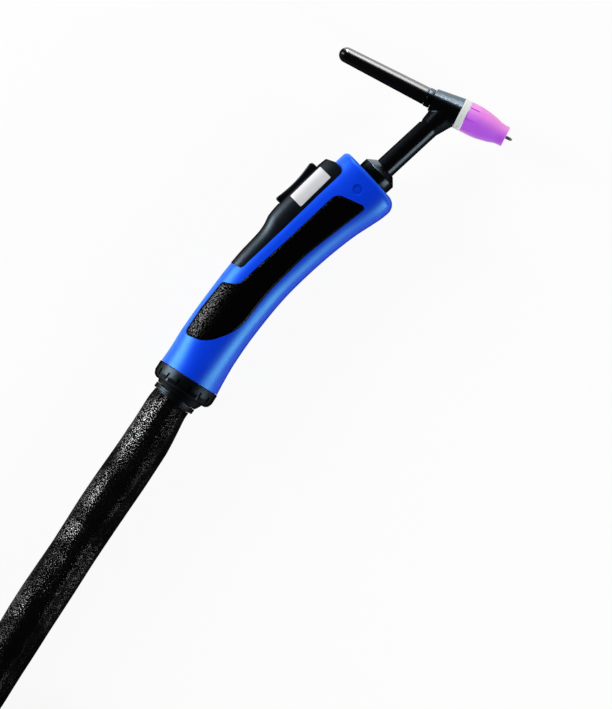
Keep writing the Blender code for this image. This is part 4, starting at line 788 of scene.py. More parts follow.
# share of the length, height of the widest line, half height, half width, squareness (2 is an ellipse)
GRIP_STATIONS = (
    (0.000, 0.0000, 0.0229, 0.0229, 2.0),
    (0.053, 0.0019, 0.0223, 0.0219, 2.1),
    (0.132, 0.0049, 0.0221, 0.0207, 2.3),
    (0.264, 0.0081, 0.0220, 0.0196, 2.5),
    (0.449, 0.0104, 0.0224, 0.0190, 2.7),
    (0.635, 0.0084, 0.0225, 0.0191, 2.9),
    (0.793, 0.0052, 0.0236, 0.0196, 3.0),
    (0.925, 0.0012, 0.0256, 0.0203, 3.0),
    (1.000, -0.0002, 0.0258, 0.0206, 3.0),
)


def between(rows, x):
    """The values of a table at x along the handle, eased by a cubic through its rows."""
    x = x / HANDLE_LENGTH
    i = max(0, min(len(rows) - 2, sum(1 for row in rows if row[0] <= x) - 1))
    low, high = rows[i], rows[i + 1]
    before, after = rows[max(i - 1, 0)], rows[min(i + 2, len(rows) - 1)]
    width = high[0] - low[0]
    t = max(0.0, min(1.0, (x - low[0]) / width))
    values = []
    for column in range(1, len(low)):
        slope_low = (high[column] - before[column]) / (high[0] - before[0]) * width
        slope_high = (after[column] - low[column]) / (after[0] - low[0]) * width
        values.append(
            (2 * t**3 - 3 * t**2 + 1) * low[column]
            + (t**3 - 2 * t**2 + t) * slope_low
            + (3 * t**2 - 2 * t**3) * high[column]
            + (t**3 - t**2) * slope_high
        )
    return values


def tilt_at(x):
    """How far the grip leans at x."""
    return math.radians(REAR_TILT + (FRONT_TILT - REAR_TILT) * x / HANDLE_LENGTH)


def evenly(points, count):
    """A closed ring's points set at even steps along it."""
    runs = [0.0]
    for i in range(len(points)):
        runs.append(runs[-1] + (points[(i + 1) % len(points)] - points[i]).length)
    even, i = [], 0
    for k in range(count):
        want = runs[-1] * k / count
        while runs[i + 1] < want:
            i += 1
        share = (want - runs[i]) / max(1e-12, runs[i + 1] - runs[i])
        even.append(points[i].lerp(points[(i + 1) % len(points)], share))
    return even


CASE_SQUARENESS = 4.2
CASE_SHARE = 0.925  # of the grip's width, so that the case's squarer sides run flush into the blue at the seam


def grip_ring(x, inset=0.0, shift=0.0, top=None):
    """One ring of the grip at x, drawn in by inset. top is the switch case's height there."""
    middle, half_height, half_width, squareness = between(GRIP_STATIONS, x)
    tilt = tilt_at(x)
    across = Vector((-math.sin(tilt), math.cos(tilt), 0.0))
    centre = torch_point(x + math.cos(tilt) * shift, middle + math.sin(tilt) * shift)
    ring = []
    for i in range(FORM_POINTS):
        rise, reach = math.sin(math.tau * i / FORM_POINTS), math.cos(math.tau * i / FORM_POINTS)
        height, power = half_height, squareness
        if top is not None and rise > 0:
            height, power = (top - middle) / math.cos(tilt), CASE_SQUARENESS
        high = math.copysign(abs(rise) ** (2 / power), rise) * (height - inset)
        wide = math.copysign(abs(reach) ** (2 / power), reach) * (half_width * (CASE_SHARE if top else 1.0) - inset)
        ring.append(centre + across * high + Vector((0.0, 0.0, wide)))
    return evenly(ring, RING_POINTS)


# %% [markdown]
# The rings become a closed form. Its front edge is a small fillet that grows towards the chin, so there each point
# of a ring is taken from a ring of its own, a little further back and drawn in. Rings are kept once made, because
# neighbouring points ask for the same ones.

# %% The closed form
RINGS_MADE = {}


def kept_ring(x, inset):
    """A ring of the grip, made only once."""
    key = (round(x, 6), round(inset, 6))
    if key not in RINGS_MADE:
        RINGS_MADE[key] = grip_ring(x, inset)
    return RINGS_MADE[key]


def grip_form(name, inset, behind=0.0, short=0.0):
    """The handle's outer form, or a smaller one inside it, with its front edge rounded."""
    front = HANDLE_LENGTH - short
    straight = front - CHIN_FILLET - GAP
    rings = [grip_ring(0.0, inset, shift=-behind)] if behind else []
    rings += [grip_ring(straight * i / RING_COUNT, inset) for i in range(RING_COUNT + 1)]
    for degrees in range(0, 91, 10):
        turn = math.radians(degrees)
        ring = []
        for i in range(RING_POINTS):
            chin = max(0.0, -math.sin(math.tau * i / RING_POINTS)) ** 2
            fillet = max(GAP, FRONT_FILLET + (CHIN_FILLET - FRONT_FILLET) * chin - inset)
            x, drawn_in = front - fillet * (1 - math.sin(turn)), inset + fillet * (1 - math.cos(turn))
            ring.append(kept_ring(x, drawn_in)[i])
        rings.append(ring)
    return lofted(name, rings)


def slab(name, outline, low, high):
    """A flat outline of the torch's plane, from one side's height to the other."""
    count = len(outline)
    points = [torch_point(p[0], p[1], z) for z in (low, high) for p in outline]
    faces = [tuple(reversed(range(count))), tuple(range(count, 2 * count))]
    faces += [(k, (k + 1) % count, count + (k + 1) % count, count + k) for k in range(count)]
    return mesh_of(name, points, faces)


def shrunk(outline, amount):
    """The outline moved inwards by amount."""
    count = len(outline)
    area = sum(outline[i - 1].x * outline[i].y - outline[i].x * outline[i - 1].y for i in range(count))
    side = 1.0 if area > 0 else -1.0
    moved = []
    for i, here in enumerate(outline):
        back, ahead = (here - outline[i - 1]).normalized(), (outline[(i + 1) % count] - here).normalized()
        tangent = (back + ahead).normalized()
        inward = Vector((-tangent.y, tangent.x)) * side
        moved.append(here + inward * amount / max(0.5, tangent.dot(ahead)))
    return moved


# %% [markdown]
# Outlines in the side view say where the rubber inlay and the switch case sit. They are drawn as corners with a
# radius each, long radii for the sweeping sides and short ones for the tips.

# %% Outlines in the side view
INLAY_CORNERS = (
    (0.1045, 0.0235, 0.0035),
    (0.2247, 0.0269, 0.0800),
    (0.3440, 0.0282, 0.0032),
    (0.3750, 0.0184, 0.0090),
    (0.6346, 0.0142, 0.2000),
    (0.8683, 0.0109, 0.0080),
    (0.9075, -0.0118, 0.0026),
    (0.6240, -0.0025, 0.1200),
    (0.4230, -0.0006, 0.1500),
    (0.2510, -0.0037, 0.0350),
    (0.1364, 0.0080, 0.0400),
)
SEAT_CORNERS = (
    (0.4167, 0.0450, 0.0),
    (0.4178, 0.0310, 0.0080),
    (0.4294, 0.0244, 0.0040),
    (0.6610, 0.0212, 0.2500),
    (0.9476, 0.0178, 0.0050),
    (0.9519, 0.0262, 0.0030),
    (0.9371, 0.0330, 0.0030),
    (0.9254, 0.0450, 0.0),
)
CASE_TOP = (
    (0.4019, 0.0326),
    (0.4759, 0.0332),
    (0.5711, 0.0330),
    (0.6081, 0.0339),
    (0.6425, 0.0358),
    (0.7033, 0.0362),
    (0.8461, 0.0348),
    (0.9096, 0.0334),
    (0.9387, 0.0318),
    (0.9625, 0.0270),
)
SIDES = 0.0300  # how far a tool in the side view reaches to either side


def in_outline(outline, spot):
    """True where a spot lies inside a closed outline."""
    inside = False
    for a, b in zip(outline, outline[1:] + outline[:1]):
        if (a.y > spot.y) != (b.y > spot.y) and spot.x < (b.x - a.x) * (spot.y - a.y) / (b.y - a.y) + a.x:
            inside = not inside
    return inside


def drawn(corners, step_degrees=8.0):
    """An outline from corners whose first number is a share of the handle's length."""
    return rounded([(share * HANDLE_LENGTH, y, radius) for share, y, radius in corners], step_degrees)


def fine_steps(outline, spacing):
    """The outline with long stretches divided."""
    steps = []
    for a, b in zip(outline, outline[1:] + outline[:1]):
        count = max(1, round((b - a).length / spacing))
        steps += [a.lerp(b, k / count) for k in range(count)]
    return steps


# %% [markdown]
# ### Blue nylon
# The blue is saturated to the point of glowing, and it runs from cyan on the side of the switch to a deep blue on
# the other. The lamps alone can't do that without washing the colour out. So the colour itself is painted a little
# lighter on the lit side, as painted light, the gloss and the sheen are tinted cyan, and a plain deeper blue takes
# over at the rim, except on that side, as painted shade. A fine grain goes into the relief, and the polish changes
# where hands wear it.

# %% Blue nylon
blue = finish("blue_plastic", Specular_IOR_Level=0.80, Specular_Tint=(0.20, 0.88, 1.0), Sheen_Weight=0.7)
blue.set(Sheen_Roughness=0.50, Sheen_Tint=(0.0, 0.60, 1.0))
sparks = blue.noise(0.0009, 2.0, 0.65)
palms = blue.noise(0.018, 3.0, 0.55)
scuffs = blue.noise(0.0016, 4.0, 0.7, blue.stretched(0.12, 1.0, 1.0)).between(0.66, 0.80)
# The colour is painted lighter on the side that faces the switch's lamp: painted light.
lit_side = blue.faces(1).between(-0.45, 0.45)
blue.set(
    Base_Color=blue.tone(lit_side * 0.6 + palms * 0.3 + sparks * 0.1, (0.000, 0.004, 0.600), (0.000, 0.045, 1.000)),
    Roughness=0.38 + 0.08 * palms + 0.08 * scuffs,
    Normal=blue.relief(sparks + scuffs * 0.4, 0.000045),
)
# At the rim, away from the switch side, a deeper blue takes over: painted shade.
blue.over_dull((0.0, 0.022, 0.46), 1.0, 0.0, 0.75, blue.faces(1).between(-0.1, 0.3))

# %% [markdown]
# ### The half shells
# The outer form is hollowed, opened for switch case and collar, and pocketed for the inlays. Cuts like these are
# what exact Booleans are good at, because every tool is a clean closed form that runs well past the wall. What
# lies on the curved side, such as the round mark and the screw holes, needs to know how far the side stands out.

# %% The grip's own side
REAR = along(REAR_FACE, level(180.0 + REAR_TILT))
NECK = along(torch_point(HANDLE_LENGTH, -0.0011), level(FRONT_TILT))


def side_of_grip(x, y, case=False):
    """How far the handle's side, or the switch case's, stands out over a point of the side view."""
    at = x
    for _ in range(5):
        middle, height, wide, power = between(GRIP_STATIONS, at)
        rise = (y - middle) / math.cos(tilt_at(at))
        at = x + math.sin(tilt_at(at)) * rise
    if case and rise > 0:
        height, power = (between(CASE_TOP, at)[0] - middle) / math.cos(tilt_at(at)), CASE_SQUARENESS
        wide *= CASE_SHARE
    share = min(0.9999, abs(rise) / height)
    return wide * (1 - share**power) ** (1 / power)


def upright(x, y):
    """A place on the side view whose Z points out of it."""
    return Matrix.Translation(torch_point(x, y))


# %% [markdown]
# The tools are made first: a spigot behind that the nut turns on, the switch case's seat, the inlays' pocket with
# its curved floor, the hole for the neck's collar, the plain round mark with its ring, and two screw holes.

# %% The form with its openings
INLAY_DEPTH = 0.0016
INLAY_STEP = 0.0012
SPIGOT_RADIUS, SPIGOT_BORE, SPIGOT_START, SPIGOT_END = 0.0212, 0.0195, -0.004, 0.0066
COLLAR_HOLE = 0.0123
shell = grip_form("shell_form", 0.0)
hollow = grip_form("shell_hollow", WALL, behind=0.004, short=WALL)
spigot_side = [(SPIGOT_START, SPIGOT_RADIUS, 0), (SPIGOT_END, SPIGOT_RADIUS, 0.0004)]
spigot_side += [(SPIGOT_END, SPIGOT_BORE, 0), (SPIGOT_START, SPIGOT_BORE, 0)]
inlay_line = fine_steps(drawn(INLAY_CORNERS), INLAY_STEP)
pocket = slab("inlay_pocket", inlay_line, -SIDES, SIDES)
carved(pocket, grip_form("pocket_floor", INLAY_DEPTH))
openings = [slab("seat", drawn(SEAT_CORNERS), -SIDES, SIDES), pocket]
openings += [rod("collar_hole", -0.007, 0.004, COLLAR_HOLE, NECK, AROUND)]

MARK_X, MARK_Y, MARK_RADIUS = HANDLE_LENGTH - 0.0129, 0.0019, 0.0041
mark_face = side_of_grip(MARK_X, MARK_Y)
MARK_FLOOR, MARK_TOP = mark_face - 0.0005, mark_face + 0.001
dish = [(MARK_FLOOR, 0, 0), (MARK_FLOOR, MARK_RADIUS - 0.0003, 0)]
dish += [(MARK_TOP, MARK_RADIUS + 0.0003, 0), (MARK_TOP, 0, 0)]
groove = [(mark_face - 0.0009, 0.0021, 0), (mark_face - 0.0009, 0.0026, 0)]
groove += [(mark_face, 0.0026, 0), (mark_face, 0.0021, 0)]
openings += [turned(name, line, upright(MARK_X, MARK_Y), 64) for name, line in (("mark", dish), ("mark_ring", groove))]

SCREWS = {"front": (HANDLE_LENGTH - 0.0121, -0.0140), "rear": (0.0200, -0.0090)}
for where, (x, y) in SCREWS.items():
    face = side_of_grip(x, y)
    cut = [(-face - 0.004, 0, 0), (-face - 0.004, 0.0030, 0), (-face + 0.0009, 0.0030, 0)]
    cut += [(-face + 0.0032, 0.0016, 0), (-0.001, 0.0016, 0), (-0.001, 0, 0)]
    openings.append(turned(f"hole_{where}", cut, upright(x, y), 40))
carved(shell, hollow)
carved(shell, turned("spigot", spigot_side, REAR), how="UNION")
carved(shell, *openings)
print(f"handle {len(shell.data.polygons)} faces before it is split")

# %% [markdown]
# The finished form is parted on the torch's middle plane. Two boxes keep a half each and leave a thin gap.

# %% Two shells out of one
BEYOND = 0.04  # further out to either side than the handle reaches
box_line = [Vector(p) for p in ((-0.05, -0.06), (0.22, -0.06), (0.22, 0.08), (-0.05, 0.08))]
for side, low, high in (("left", GAP / 2, BEYOND), ("right", -BEYOND, -GAP / 2)):
    half = bpy.data.objects.new(f"grip_half_{side}", shell.data.copy())
    carved(half, slab("half_space", box_line, low, high), how="INTERSECT")
    dress(half, "blue_plastic", "torch", f"handle_shell_{side}", crease=28.0)
bpy.data.objects.remove(shell, do_unlink=True)

# %% [markdown]
# ### The rubber inlays
# Each side has a soft black pad with a fine grain. A Boolean would leave it a razor edge, but the photo shows the
# pad's rounded rim as a thin line of light. So the pad is built as a net: rings of points that step in from the
# outline and rise over a small radius, and an even filling inside, every point lifted onto the grip's own side.

# %% A pad that follows the grip
SLOPE_STEP = 0.0002


def on_side(spot, lift, side, case=False):
    """A point over the grip's side, lifted square to it."""
    step = SLOPE_STEP
    here = side_of_grip(spot.x, spot.y, case)
    slope_x = (side_of_grip(spot.x + step, spot.y, case) - side_of_grip(spot.x - step, spot.y, case)) / (2 * step)
    slope_y = (side_of_grip(spot.x, spot.y + step, case) - side_of_grip(spot.x, spot.y - step, case)) / (2 * step)
    square = Vector((-slope_x, -slope_y, 1.0)).normalized() * lift
    return torch_point(spot.x + square.x, spot.y + square.y, side * (here + square.z))


def filling_of(outline, spacing):
    """Spots in even triangles inside an outline, not too near to its own points."""
    low = Vector((min(p.x for p in outline), min(p.y for p in outline)))
    high = Vector((max(p.x for p in outline), max(p.y for p in outline)))
    spots = []
    for i in range(1, int((high.x - low.x) / spacing) + 1):
        for j in range(1, int((high.y - low.y) / spacing) + 1):
            spot = Vector((low.x + (i - 0.5 * (j % 2)) * spacing, low.y + j * spacing))
            if in_outline(outline, spot) and min((spot - p).length_squared for p in outline) > (0.6 * spacing) ** 2:
                spots.append(spot)
    return spots


def curved_pad(name, outline, side, rim, depth, spacing, case=False):
    """A pad on the grip's side: rim holds (inset, lift) steps from its edge inwards."""
    rings = [shrunk(outline, inset) for inset, lift in rim]
    inner, count = rings[-1], len(outline)
    loop = [(k, (k + 1) % count) for k in range(count)]
    flat, _, triangles, origins, _, _ = delaunay_2d_cdt(inner + filling_of(inner, spacing), loop, [], 1, 1e-8)
    spots = [(spot, lift) for ring, (_, lift) in zip(rings[:-1], rim[:-1]) for spot in ring]
    first = len(spots)
    spots += [(spot, rim[-1][1]) for spot in flat]
    on_ring = {source: first + index for index, sources in enumerate(origins) for source in sources if source < count}
    rows = [[r * count + k for k in range(count)] for r in range(len(rings) - 1)]
    rows.append([on_ring[k] for k in range(count)])
    faces = [tuple(first + corner for corner in triangle) for triangle in triangles]
    for row, following in zip(rows, rows[1:]):
        faces += [(row[k], row[far], following[far], following[k]) for k, far in loop]
    top = [on_side(spot, lift, side, case) for spot, lift in spots]
    under = [on_side(spot, -depth, side, case) for spot, lift in spots]
    total, edge = len(spots), rows[0]
    faces += [tuple(total + corner for corner in reversed(face)) for face in faces]
    faces += [(edge[k], edge[far], total + edge[far], total + edge[k]) for k, far in loop]
    return mesh_of(name, top + under, faces)


# %% [markdown]
# The pad's rubber is moulded with a fine knobbly grain. Where the pad rolls over at its rear end, on the side of
# the switch, the tips of the knobs catch the light as specks. Everywhere else it is the deepest black of the
# torch, but for the thin grey line of its lower rim.

# %% Inlay rubber
grip_rubber = finish("grip_rubber", Specular_IOR_Level=0.60)
knobs = grip_rubber.pebbles(0.00105, 0.15)
fuzz = grip_rubber.noise(0.0008, 2.0, 0.7)
oily = grip_rubber.noise(0.010, 2.0, 0.5)
grip_rubber.set(
    Base_Color=grip_rubber.tone(oily, (0.0007, 0.0007, 0.0008), (0.0018, 0.0018, 0.0020)),
    Roughness=0.30 + 0.10 * fuzz - 0.04 * oily,
    Normal=grip_rubber.relief((1.0 - knobs) * 0.8 + fuzz * 0.6, 0.00016),
)
across = grip_rubber.faces(1)
tips = ((1.0 - knobs) * 0.5 + fuzz * 0.5).between(0.46, 0.66) * (0.10 + 0.90 * across.between(0.05, 0.45))
lower_rim = (0.0 - across).between(0.55, 0.75) * 0.7
grip_rubber.over_dull((0.0010, 0.0010, 0.0012), tips.largest(lower_rim), 0.0, 0.85)

# %% [markdown]
# The pad's rim is a list of small steps, inwards and up. It starts below the blue's own surface, so that no light
# gets in between the two, runs nearly level and then rolls up to the pad's height.

# %% The two inlays
FINE_GAP = 0.00006  # what the eye sees between two pieces that are pressed together
NET_STEP = 0.0014
PAD_RIM = (
    (0.0, -0.0003),
    (0.00006, -0.0001),
    (0.0002, -0.00004),
    (0.0007, 0.0),
    (0.00082, 0.00005),
    (0.00104, 0.00018),
    (0.00118, 0.00021),
    (0.0015, 0.00022),
)
pad_line = shrunk(inlay_line, FINE_GAP)
for side, sign in (("left", 1), ("right", -1)):
    pad = curved_pad(f"grained_pad_{side}", pad_line, sign, PAD_RIM, INLAY_DEPTH - GAP, NET_STEP)
    dress(pad, "grip_rubber", "torch", f"grip_inlay_{side}", crease=50.0)

# %% [markdown]
# ## The switch case
# The case is one black part that closes the handle's upper side: a smooth tongue behind, a raised front with the
# rocker in a pocket. It shares the grip's rings, with a squarer and higher top, so its sides run flush into the
# blue. The bare pale plate on its side is a thin foil in the same curve.

# %% Switch case
ROCKER = Matrix.Translation(joints["rocker_tilt"]["pos_m"])
ROCKER_X = joints["rocker_tilt"]["pos_m"][0] - REAR_FACE.x
ROCKER_LENGTH, ROCKER_WIDTH = 0.0362, 0.0166
ROCKER_ROOM = 0.0009
POCKET_FLOOR, POCKET_TOP = 0.024, 0.044
PIN_RADIUS, PIN_SINK = 0.0015, 0.0028
CASE_RINGS = 70
start, end = CASE_TOP[0][0] * HANDLE_LENGTH, CASE_TOP[-1][0] * HANDLE_LENGTH
rows = [start + (end - start) * i / CASE_RINGS for i in range(CASE_RINGS + 1)]
case = lofted("switch_case", [grip_ring(x, 0.0, top=between(CASE_TOP, x)[0]) for x in rows])
carved(case, slab("seat_line", shrunk(drawn(SEAT_CORNERS), FINE_GAP), -SIDES, SIDES), how="INTERSECT")
reach, wide = ROCKER_LENGTH / 2 + ROCKER_ROOM, ROCKER_WIDTH / 2 + GAP
pocket_line = [(ROCKER_X - reach, POCKET_FLOOR, 0), (ROCKER_X + reach, POCKET_FLOOR, 0)]
pocket_line += [(ROCKER_X + reach, POCKET_TOP, 0), (ROCKER_X - reach, POCKET_TOP, 0)]
carved(case, slab("rocker_pocket", rounded(pocket_line), -wide, wide))
carved(case, rod("pin_cut", -wide - PIN_SINK, wide + PIN_SINK, PIN_RADIUS, ROCKER, 24))
dress(case, "black_plastic", "torch", "switch_housing", crease=28.0)

# %% [markdown]
# The rocker is a saddle, pressed at either end: its top sinks in the middle, and its edges are rounded by a bevel
# because they are plain edges of a plain slab.

# %% Rocker
ROCKER_BASE = 0.0300
REAR_TOP, MIDDLE_TOP, FRONT_TOP = 0.0402, 0.0380, 0.0393
REAR_CORNER, FRONT_CORNER, EDGE_RADIUS = 0.0016, 0.0030, 0.0012
SADDLE_STEPS = 32
saddle = []
for i in range(SADDLE_STEPS + 1):
    share = i / SADDLE_STEPS
    ends = REAR_TOP + (FRONT_TOP - REAR_TOP) * share
    dip = (REAR_TOP + FRONT_TOP) / 2 - MIDDLE_TOP
    corner = {0: REAR_CORNER, SADDLE_STEPS: FRONT_CORNER}.get(i, 0.0)
    if corner or 2 < i < SADDLE_STEPS - 4:  # no points next to a corner, so that its arc has room
        saddle.append((ROCKER_X + ROCKER_LENGTH * (share - 0.5), ends - dip * math.sin(math.pi * share), corner))
rocker_line = [(ROCKER_X - ROCKER_LENGTH / 2, ROCKER_BASE, 0), (ROCKER_X + ROCKER_LENGTH / 2, ROCKER_BASE, 0)]
rocker = slab("rocker_saddle", rounded(rocker_line + saddle[::-1]), -ROCKER_WIDTH / 2, ROCKER_WIDTH / 2)
bpy.context.scene.collection.objects.link(rocker)
edges = rocker.modifiers.new("Rounded edges", "BEVEL")
edges.width, edges.segments, edges.limit_method, edges.angle_limit = EDGE_RADIUS, 5, "ANGLE", math.radians(50)
settled(rocker)
carved(rocker, rod("pin_bore", -wide, wide, PIN_RADIUS, ROCKER, 24))
dress(rocker, "black_plastic", "rocker", "switch_rocker", crease=40.0)

# %% [markdown]
# ### The bare plate
# A pale satin foil lies on the case's side. On this torch it stays bare: only a fine brushed skin and a trace of
# handling. It is built with the inlay's own net, so it bends with the case.

# %% Plate
foil = finish("plate_foil", Metallic=0.0, Specular_IOR_Level=0.5)
brushed = foil.noise(0.00035, 3.0, 0.6, foil.stretched(0.06, 1.0, 1.0))
thumbed = foil.noise(0.007, 3.0, 0.6)
foil.set(
    Base_Color=foil.tone(thumbed * 0.7 + brushed * 0.3, (0.58, 0.58, 0.61), (0.70, 0.70, 0.72)),
    Roughness=0.30 + 0.15 * thumbed,
    Normal=foil.relief(brushed, 0.000012),
)
PLATE_MIDDLE, PLATE_LONG, PLATE_TALL = Vector((0.1555, 0.0274)), 0.0293, 0.0106
PLATE_TURN, PLATE_CORNER = math.radians(-3.1), 0.0007
PLATE_RIM, PLATE_DEPTH = ((0.0, 0.00008), (0.00006, 0.00017), (0.00020, 0.00020)), -0.00003
turn = Matrix.Rotation(PLATE_TURN, 2)
plate_corners = [(-1, -1), (1, -1), (1, 1), (-1, 1)]
plate_line = [PLATE_MIDDLE + turn @ Vector((u * PLATE_LONG / 2, v * PLATE_TALL / 2)) for u, v in plate_corners]
plate_line = fine_steps(rounded([(p.x, p.y, PLATE_CORNER) for p in plate_line]), INLAY_STEP)
plate = curved_pad("bare_plate", plate_line, 1, PLATE_RIM, PLATE_DEPTH, NET_STEP, case=True)
dress(plate, None, "torch", crease=40.0, finish_name="plate_foil")

# %% [markdown]
# ## Neck and head
# Neck and head are one silicone moulding over brass and copper. Rubber flows: where the round neck meets the web
# and the web meets the head there is no hard corner, only a soft one. It starts as three simple forms that overlap:
# a rod, a flared web through a few rings, and a barrel.

# %% The head's forms
NECK_REACH, NECK_RADIUS, NECK_REAR = 0.0733, 0.00755, -0.0140
HEAD_REAR, HEAD_FRONT = 0.0136, 0.0072
HEAD_REAR_RADIUS, HEAD_FRONT_RADIUS = 0.0082, 0.0111
HEAD = along(Vector(joints["cap_turn"]["pos_m"]), joints["nozzle_slide"]["axis"])
WEB_AROUND = 48
# run along the neck, depth on the nozzle's side, depth on the cap's side, half width
WEB_STATIONS = (
    (0.0520, 0.0073, 0.0073, 0.0073),
    (0.0685, 0.0112, 0.0098, 0.0088),
    (0.0714, 0.0067, 0.0059, 0.0053),
)


def web():
    """The web that flares from the round neck to the head, deeper on one side."""
    rings = []
    for run, low, high, wide in WEB_STATIONS:
        ring = []
        for i in range(WEB_AROUND):
            angle = math.tau * i / WEB_AROUND
            height = math.sin(angle) * (low if math.sin(angle) > 0 else high)
            ring.append(NECK @ Vector((math.cos(angle) * wide, height, run)))
        rings.append(ring)
    return lofted("web", rings)


flare = (HEAD_FRONT_RADIUS - HEAD_REAR_RADIUS) / (HEAD_REAR + HEAD_FRONT)
past = 0.0025  # the barrel runs past its two faces, which are cut later
barrel = [(-HEAD_REAR - past, 0, 0), (-HEAD_REAR - past, HEAD_REAR_RADIUS - flare * past, 0)]
barrel += [(HEAD_FRONT + past, HEAD_FRONT_RADIUS + flare * past, 0), (HEAD_FRONT + past, 0, 0)]
forms = [rod("neck_form", NECK_REAR, NECK_REACH, NECK_RADIUS, NECK, 64), web(), turned("barrel_form", barrel, HEAD, 64)]
print("head forms:", ", ".join(form.name for form in forms))

# %% [markdown]
# A voxel remesh welds the three forms into one skin, and a few rounds of smoothing make the fillets. The two open
# faces are cut afterwards, so that they stay flat and sharp, and then the bores for neck tube and torch body.

# %% The fused moulding
VOXEL = 0.00048
SOFTEN_ROUNDS = 9
CUT_RADIUS, CUT_LENGTH = 0.018, 0.012
HEAD_BORE, TUBE_BORE, BORE_PAST = 0.0065, 0.0048, 0.004
fused = bmesh.new()
for form in forms:
    fused.from_mesh(form.data)
    bpy.data.objects.remove(form, do_unlink=True)
head_mesh = bpy.data.meshes.new("head_moulding")
fused.to_mesh(head_mesh)
fused.free()
head = bpy.data.objects.new("head_moulding", head_mesh)
bpy.context.scene.collection.objects.link(head)
weld = head.modifiers.new("Weld", "REMESH")
weld.mode, weld.voxel_size = "VOXEL", VOXEL
soften = head.modifiers.new("Soften", "SMOOTH")
soften.factor, soften.iterations = 0.5, SOFTEN_ROUNDS
settled(head)
carved(
    head,
    rod("front_cut", HEAD_FRONT, HEAD_FRONT + CUT_LENGTH, CUT_RADIUS, HEAD, 32),
    rod("rear_cut", -HEAD_REAR - CUT_LENGTH, -HEAD_REAR, CUT_RADIUS, HEAD, 32),
)
carved(
    head,
    rod("tube_bore", NECK_REAR - BORE_PAST, NECK_REACH - 0.0011, TUBE_BORE, NECK, 48),
    rod("head_bore", -HEAD_REAR - BORE_PAST, HEAD_FRONT + BORE_PAST, HEAD_BORE, HEAD, 48),
)
dress(head, "moulding", "torch", "head_cover", crease=48.0)

# %% [markdown]
# The collar stops the neck in the handle's front wall. Its cylinder, its cone and the step down to the neck each
# catch the light on their own, so their corners are only barely rounded.

# %% Collar
collar = [
    (-0.0063, 0.01500, 0.0002),
    (-0.0033, 0.01500, 0.0002),
    (-0.0033, 0.01200, 0),
    (0.0003, 0.01200, 0),
    (0.0003, 0.01360, 0.0003),
    (0.0065, 0.01360, 0.0006),
    (0.0112, 0.00835, 0.0003),
    (0.0112, 0.00785, 0),
    (-0.0063, 0.00785, 0),
]
dress(turned("neck_collar_ring", collar, NECK), "moulding", "torch", "neck_collar")

# %% [markdown]
# ## The long back cap
# The cap covers the rear end of a full-length electrode. It is a plain tapering tube with a domed end, so what
# sells it is one long clean highlight: many sides round the axis and a real dome. The ring before it closes the
# gap to the head with a thin lip, as pieces do that are pressed together.

# %% Rear ring and cap
RING_START = -HEAD_REAR - GAP - 0.0042
RING_END = -HEAD_REAR - GAP
BASE = RING_START - GAP
CAP_LENGTH, CAP_BASE_RADIUS, CAP_TIP_RADIUS, CAP_BORE = 0.0683, 0.0065, 0.0055, 0.0023
CAP_WALL = 0.0034  # behind the bore
LIP = GAP - FINE_GAP
ring_side = [
    (RING_START - LIP, 0.00625, 0),
    (RING_START, 0.00625, 0),
    (RING_START, 0.00695, 0.0004),
    (RING_END, 0.00695, 0.0003),
    (RING_END, 0.00625, 0),
    (RING_END + LIP, 0.00625, 0),
    (RING_END + LIP, 0.0046, 0),
    (RING_START + 0.0030, 0.0046, 0),
    (RING_START + 0.0030, 0.0056, 0),
    (RING_START - LIP, 0.0056, 0),
]
dress(turned("cap_ring", ring_side, HEAD), "moulding", "torch", "head_rear_ring")
tip = BASE - CAP_LENGTH
arc = [math.radians(degrees) for degrees in range(6, 91, 6)]
dome = [(tip + CAP_TIP_RADIUS * (1 - math.cos(a)), CAP_TIP_RADIUS * math.sin(a), 0) for a in arc]
cap_side = [(-0.0083, CAP_BORE, 0), (-0.0083, 0.0043, 0.0003), (BASE, 0.0043, 0.0001), (BASE, CAP_BASE_RADIUS, 0.0004)]
cap_side += [(BASE - 0.0016, CAP_BASE_RADIUS, 0), *reversed(dome), (tip, 0, 0)]
cap_side += [(tip + CAP_WALL, 0, 0), (tip + CAP_WALL, CAP_BORE, 0)]
dress(turned("long_cap", cap_side, HEAD), "black_plastic", "cap", "back_cap", crease=25.0, finish_name="cap_gloss")

# %% [markdown]
# ## Insulator and nozzle
# A white PTFE ring keeps the hot ceramic off the head. The nozzle is unglazed alumina, coloured through, violet in
# the thick of it; the pink on the side that faces forwards into the light is painted light. Narrow grooves round
# its base give fingers a grip. They are cut with thin bars set round the axis.

# %% PTFE and ceramic
ptfe = finish("ptfe", Specular_IOR_Level=0.35, Subsurface_Weight=0.15, Subsurface_Scale=0.002)
lathe = ptfe.noise(0.0010, 2.0, 0.5)
ptfe.set(
    Base_Color=ptfe.tone(ptfe.noise(0.004, 3.0, 0.6), (0.73, 0.76, 0.75), (0.86, 0.89, 0.87)),
    Roughness=0.36 + 0.14 * lathe,
    Normal=ptfe.relief(lathe, 0.000025),
)
ceramic = finish("ceramic", Specular_IOR_Level=0.50, Sheen_Weight=0.8, Sheen_Roughness=0.4)
ceramic.set(Sheen_Tint=(1.0, 0.62, 0.60))
sand = ceramic.noise(0.00028, 2.0, 0.6)
clouds = ceramic.noise(0.006, 3.0, 0.6)
fired = ceramic.noise(0.0020, 3.0, 0.7)
# Pink on the side that faces forwards into the light is painted light; the clouds add a little random tone.
painted_light_and_clouds = ceramic.faces(0).between(-0.35, 0.85) * 0.85 + clouds * 0.2
ceramic.set(
    Base_Color=ceramic.tone(painted_light_and_clouds, (0.54, 0.085, 1.00), (1.00, 0.300, 0.88)),
    Roughness=0.42 + 0.16 * fired,
    Normal=ceramic.relief(sand, 0.000030, ceramic.relief(fired, 0.00008)),
)

# %% [markdown]
# The insulator is a plain ring with one fine groove round it and slightly broken edges.

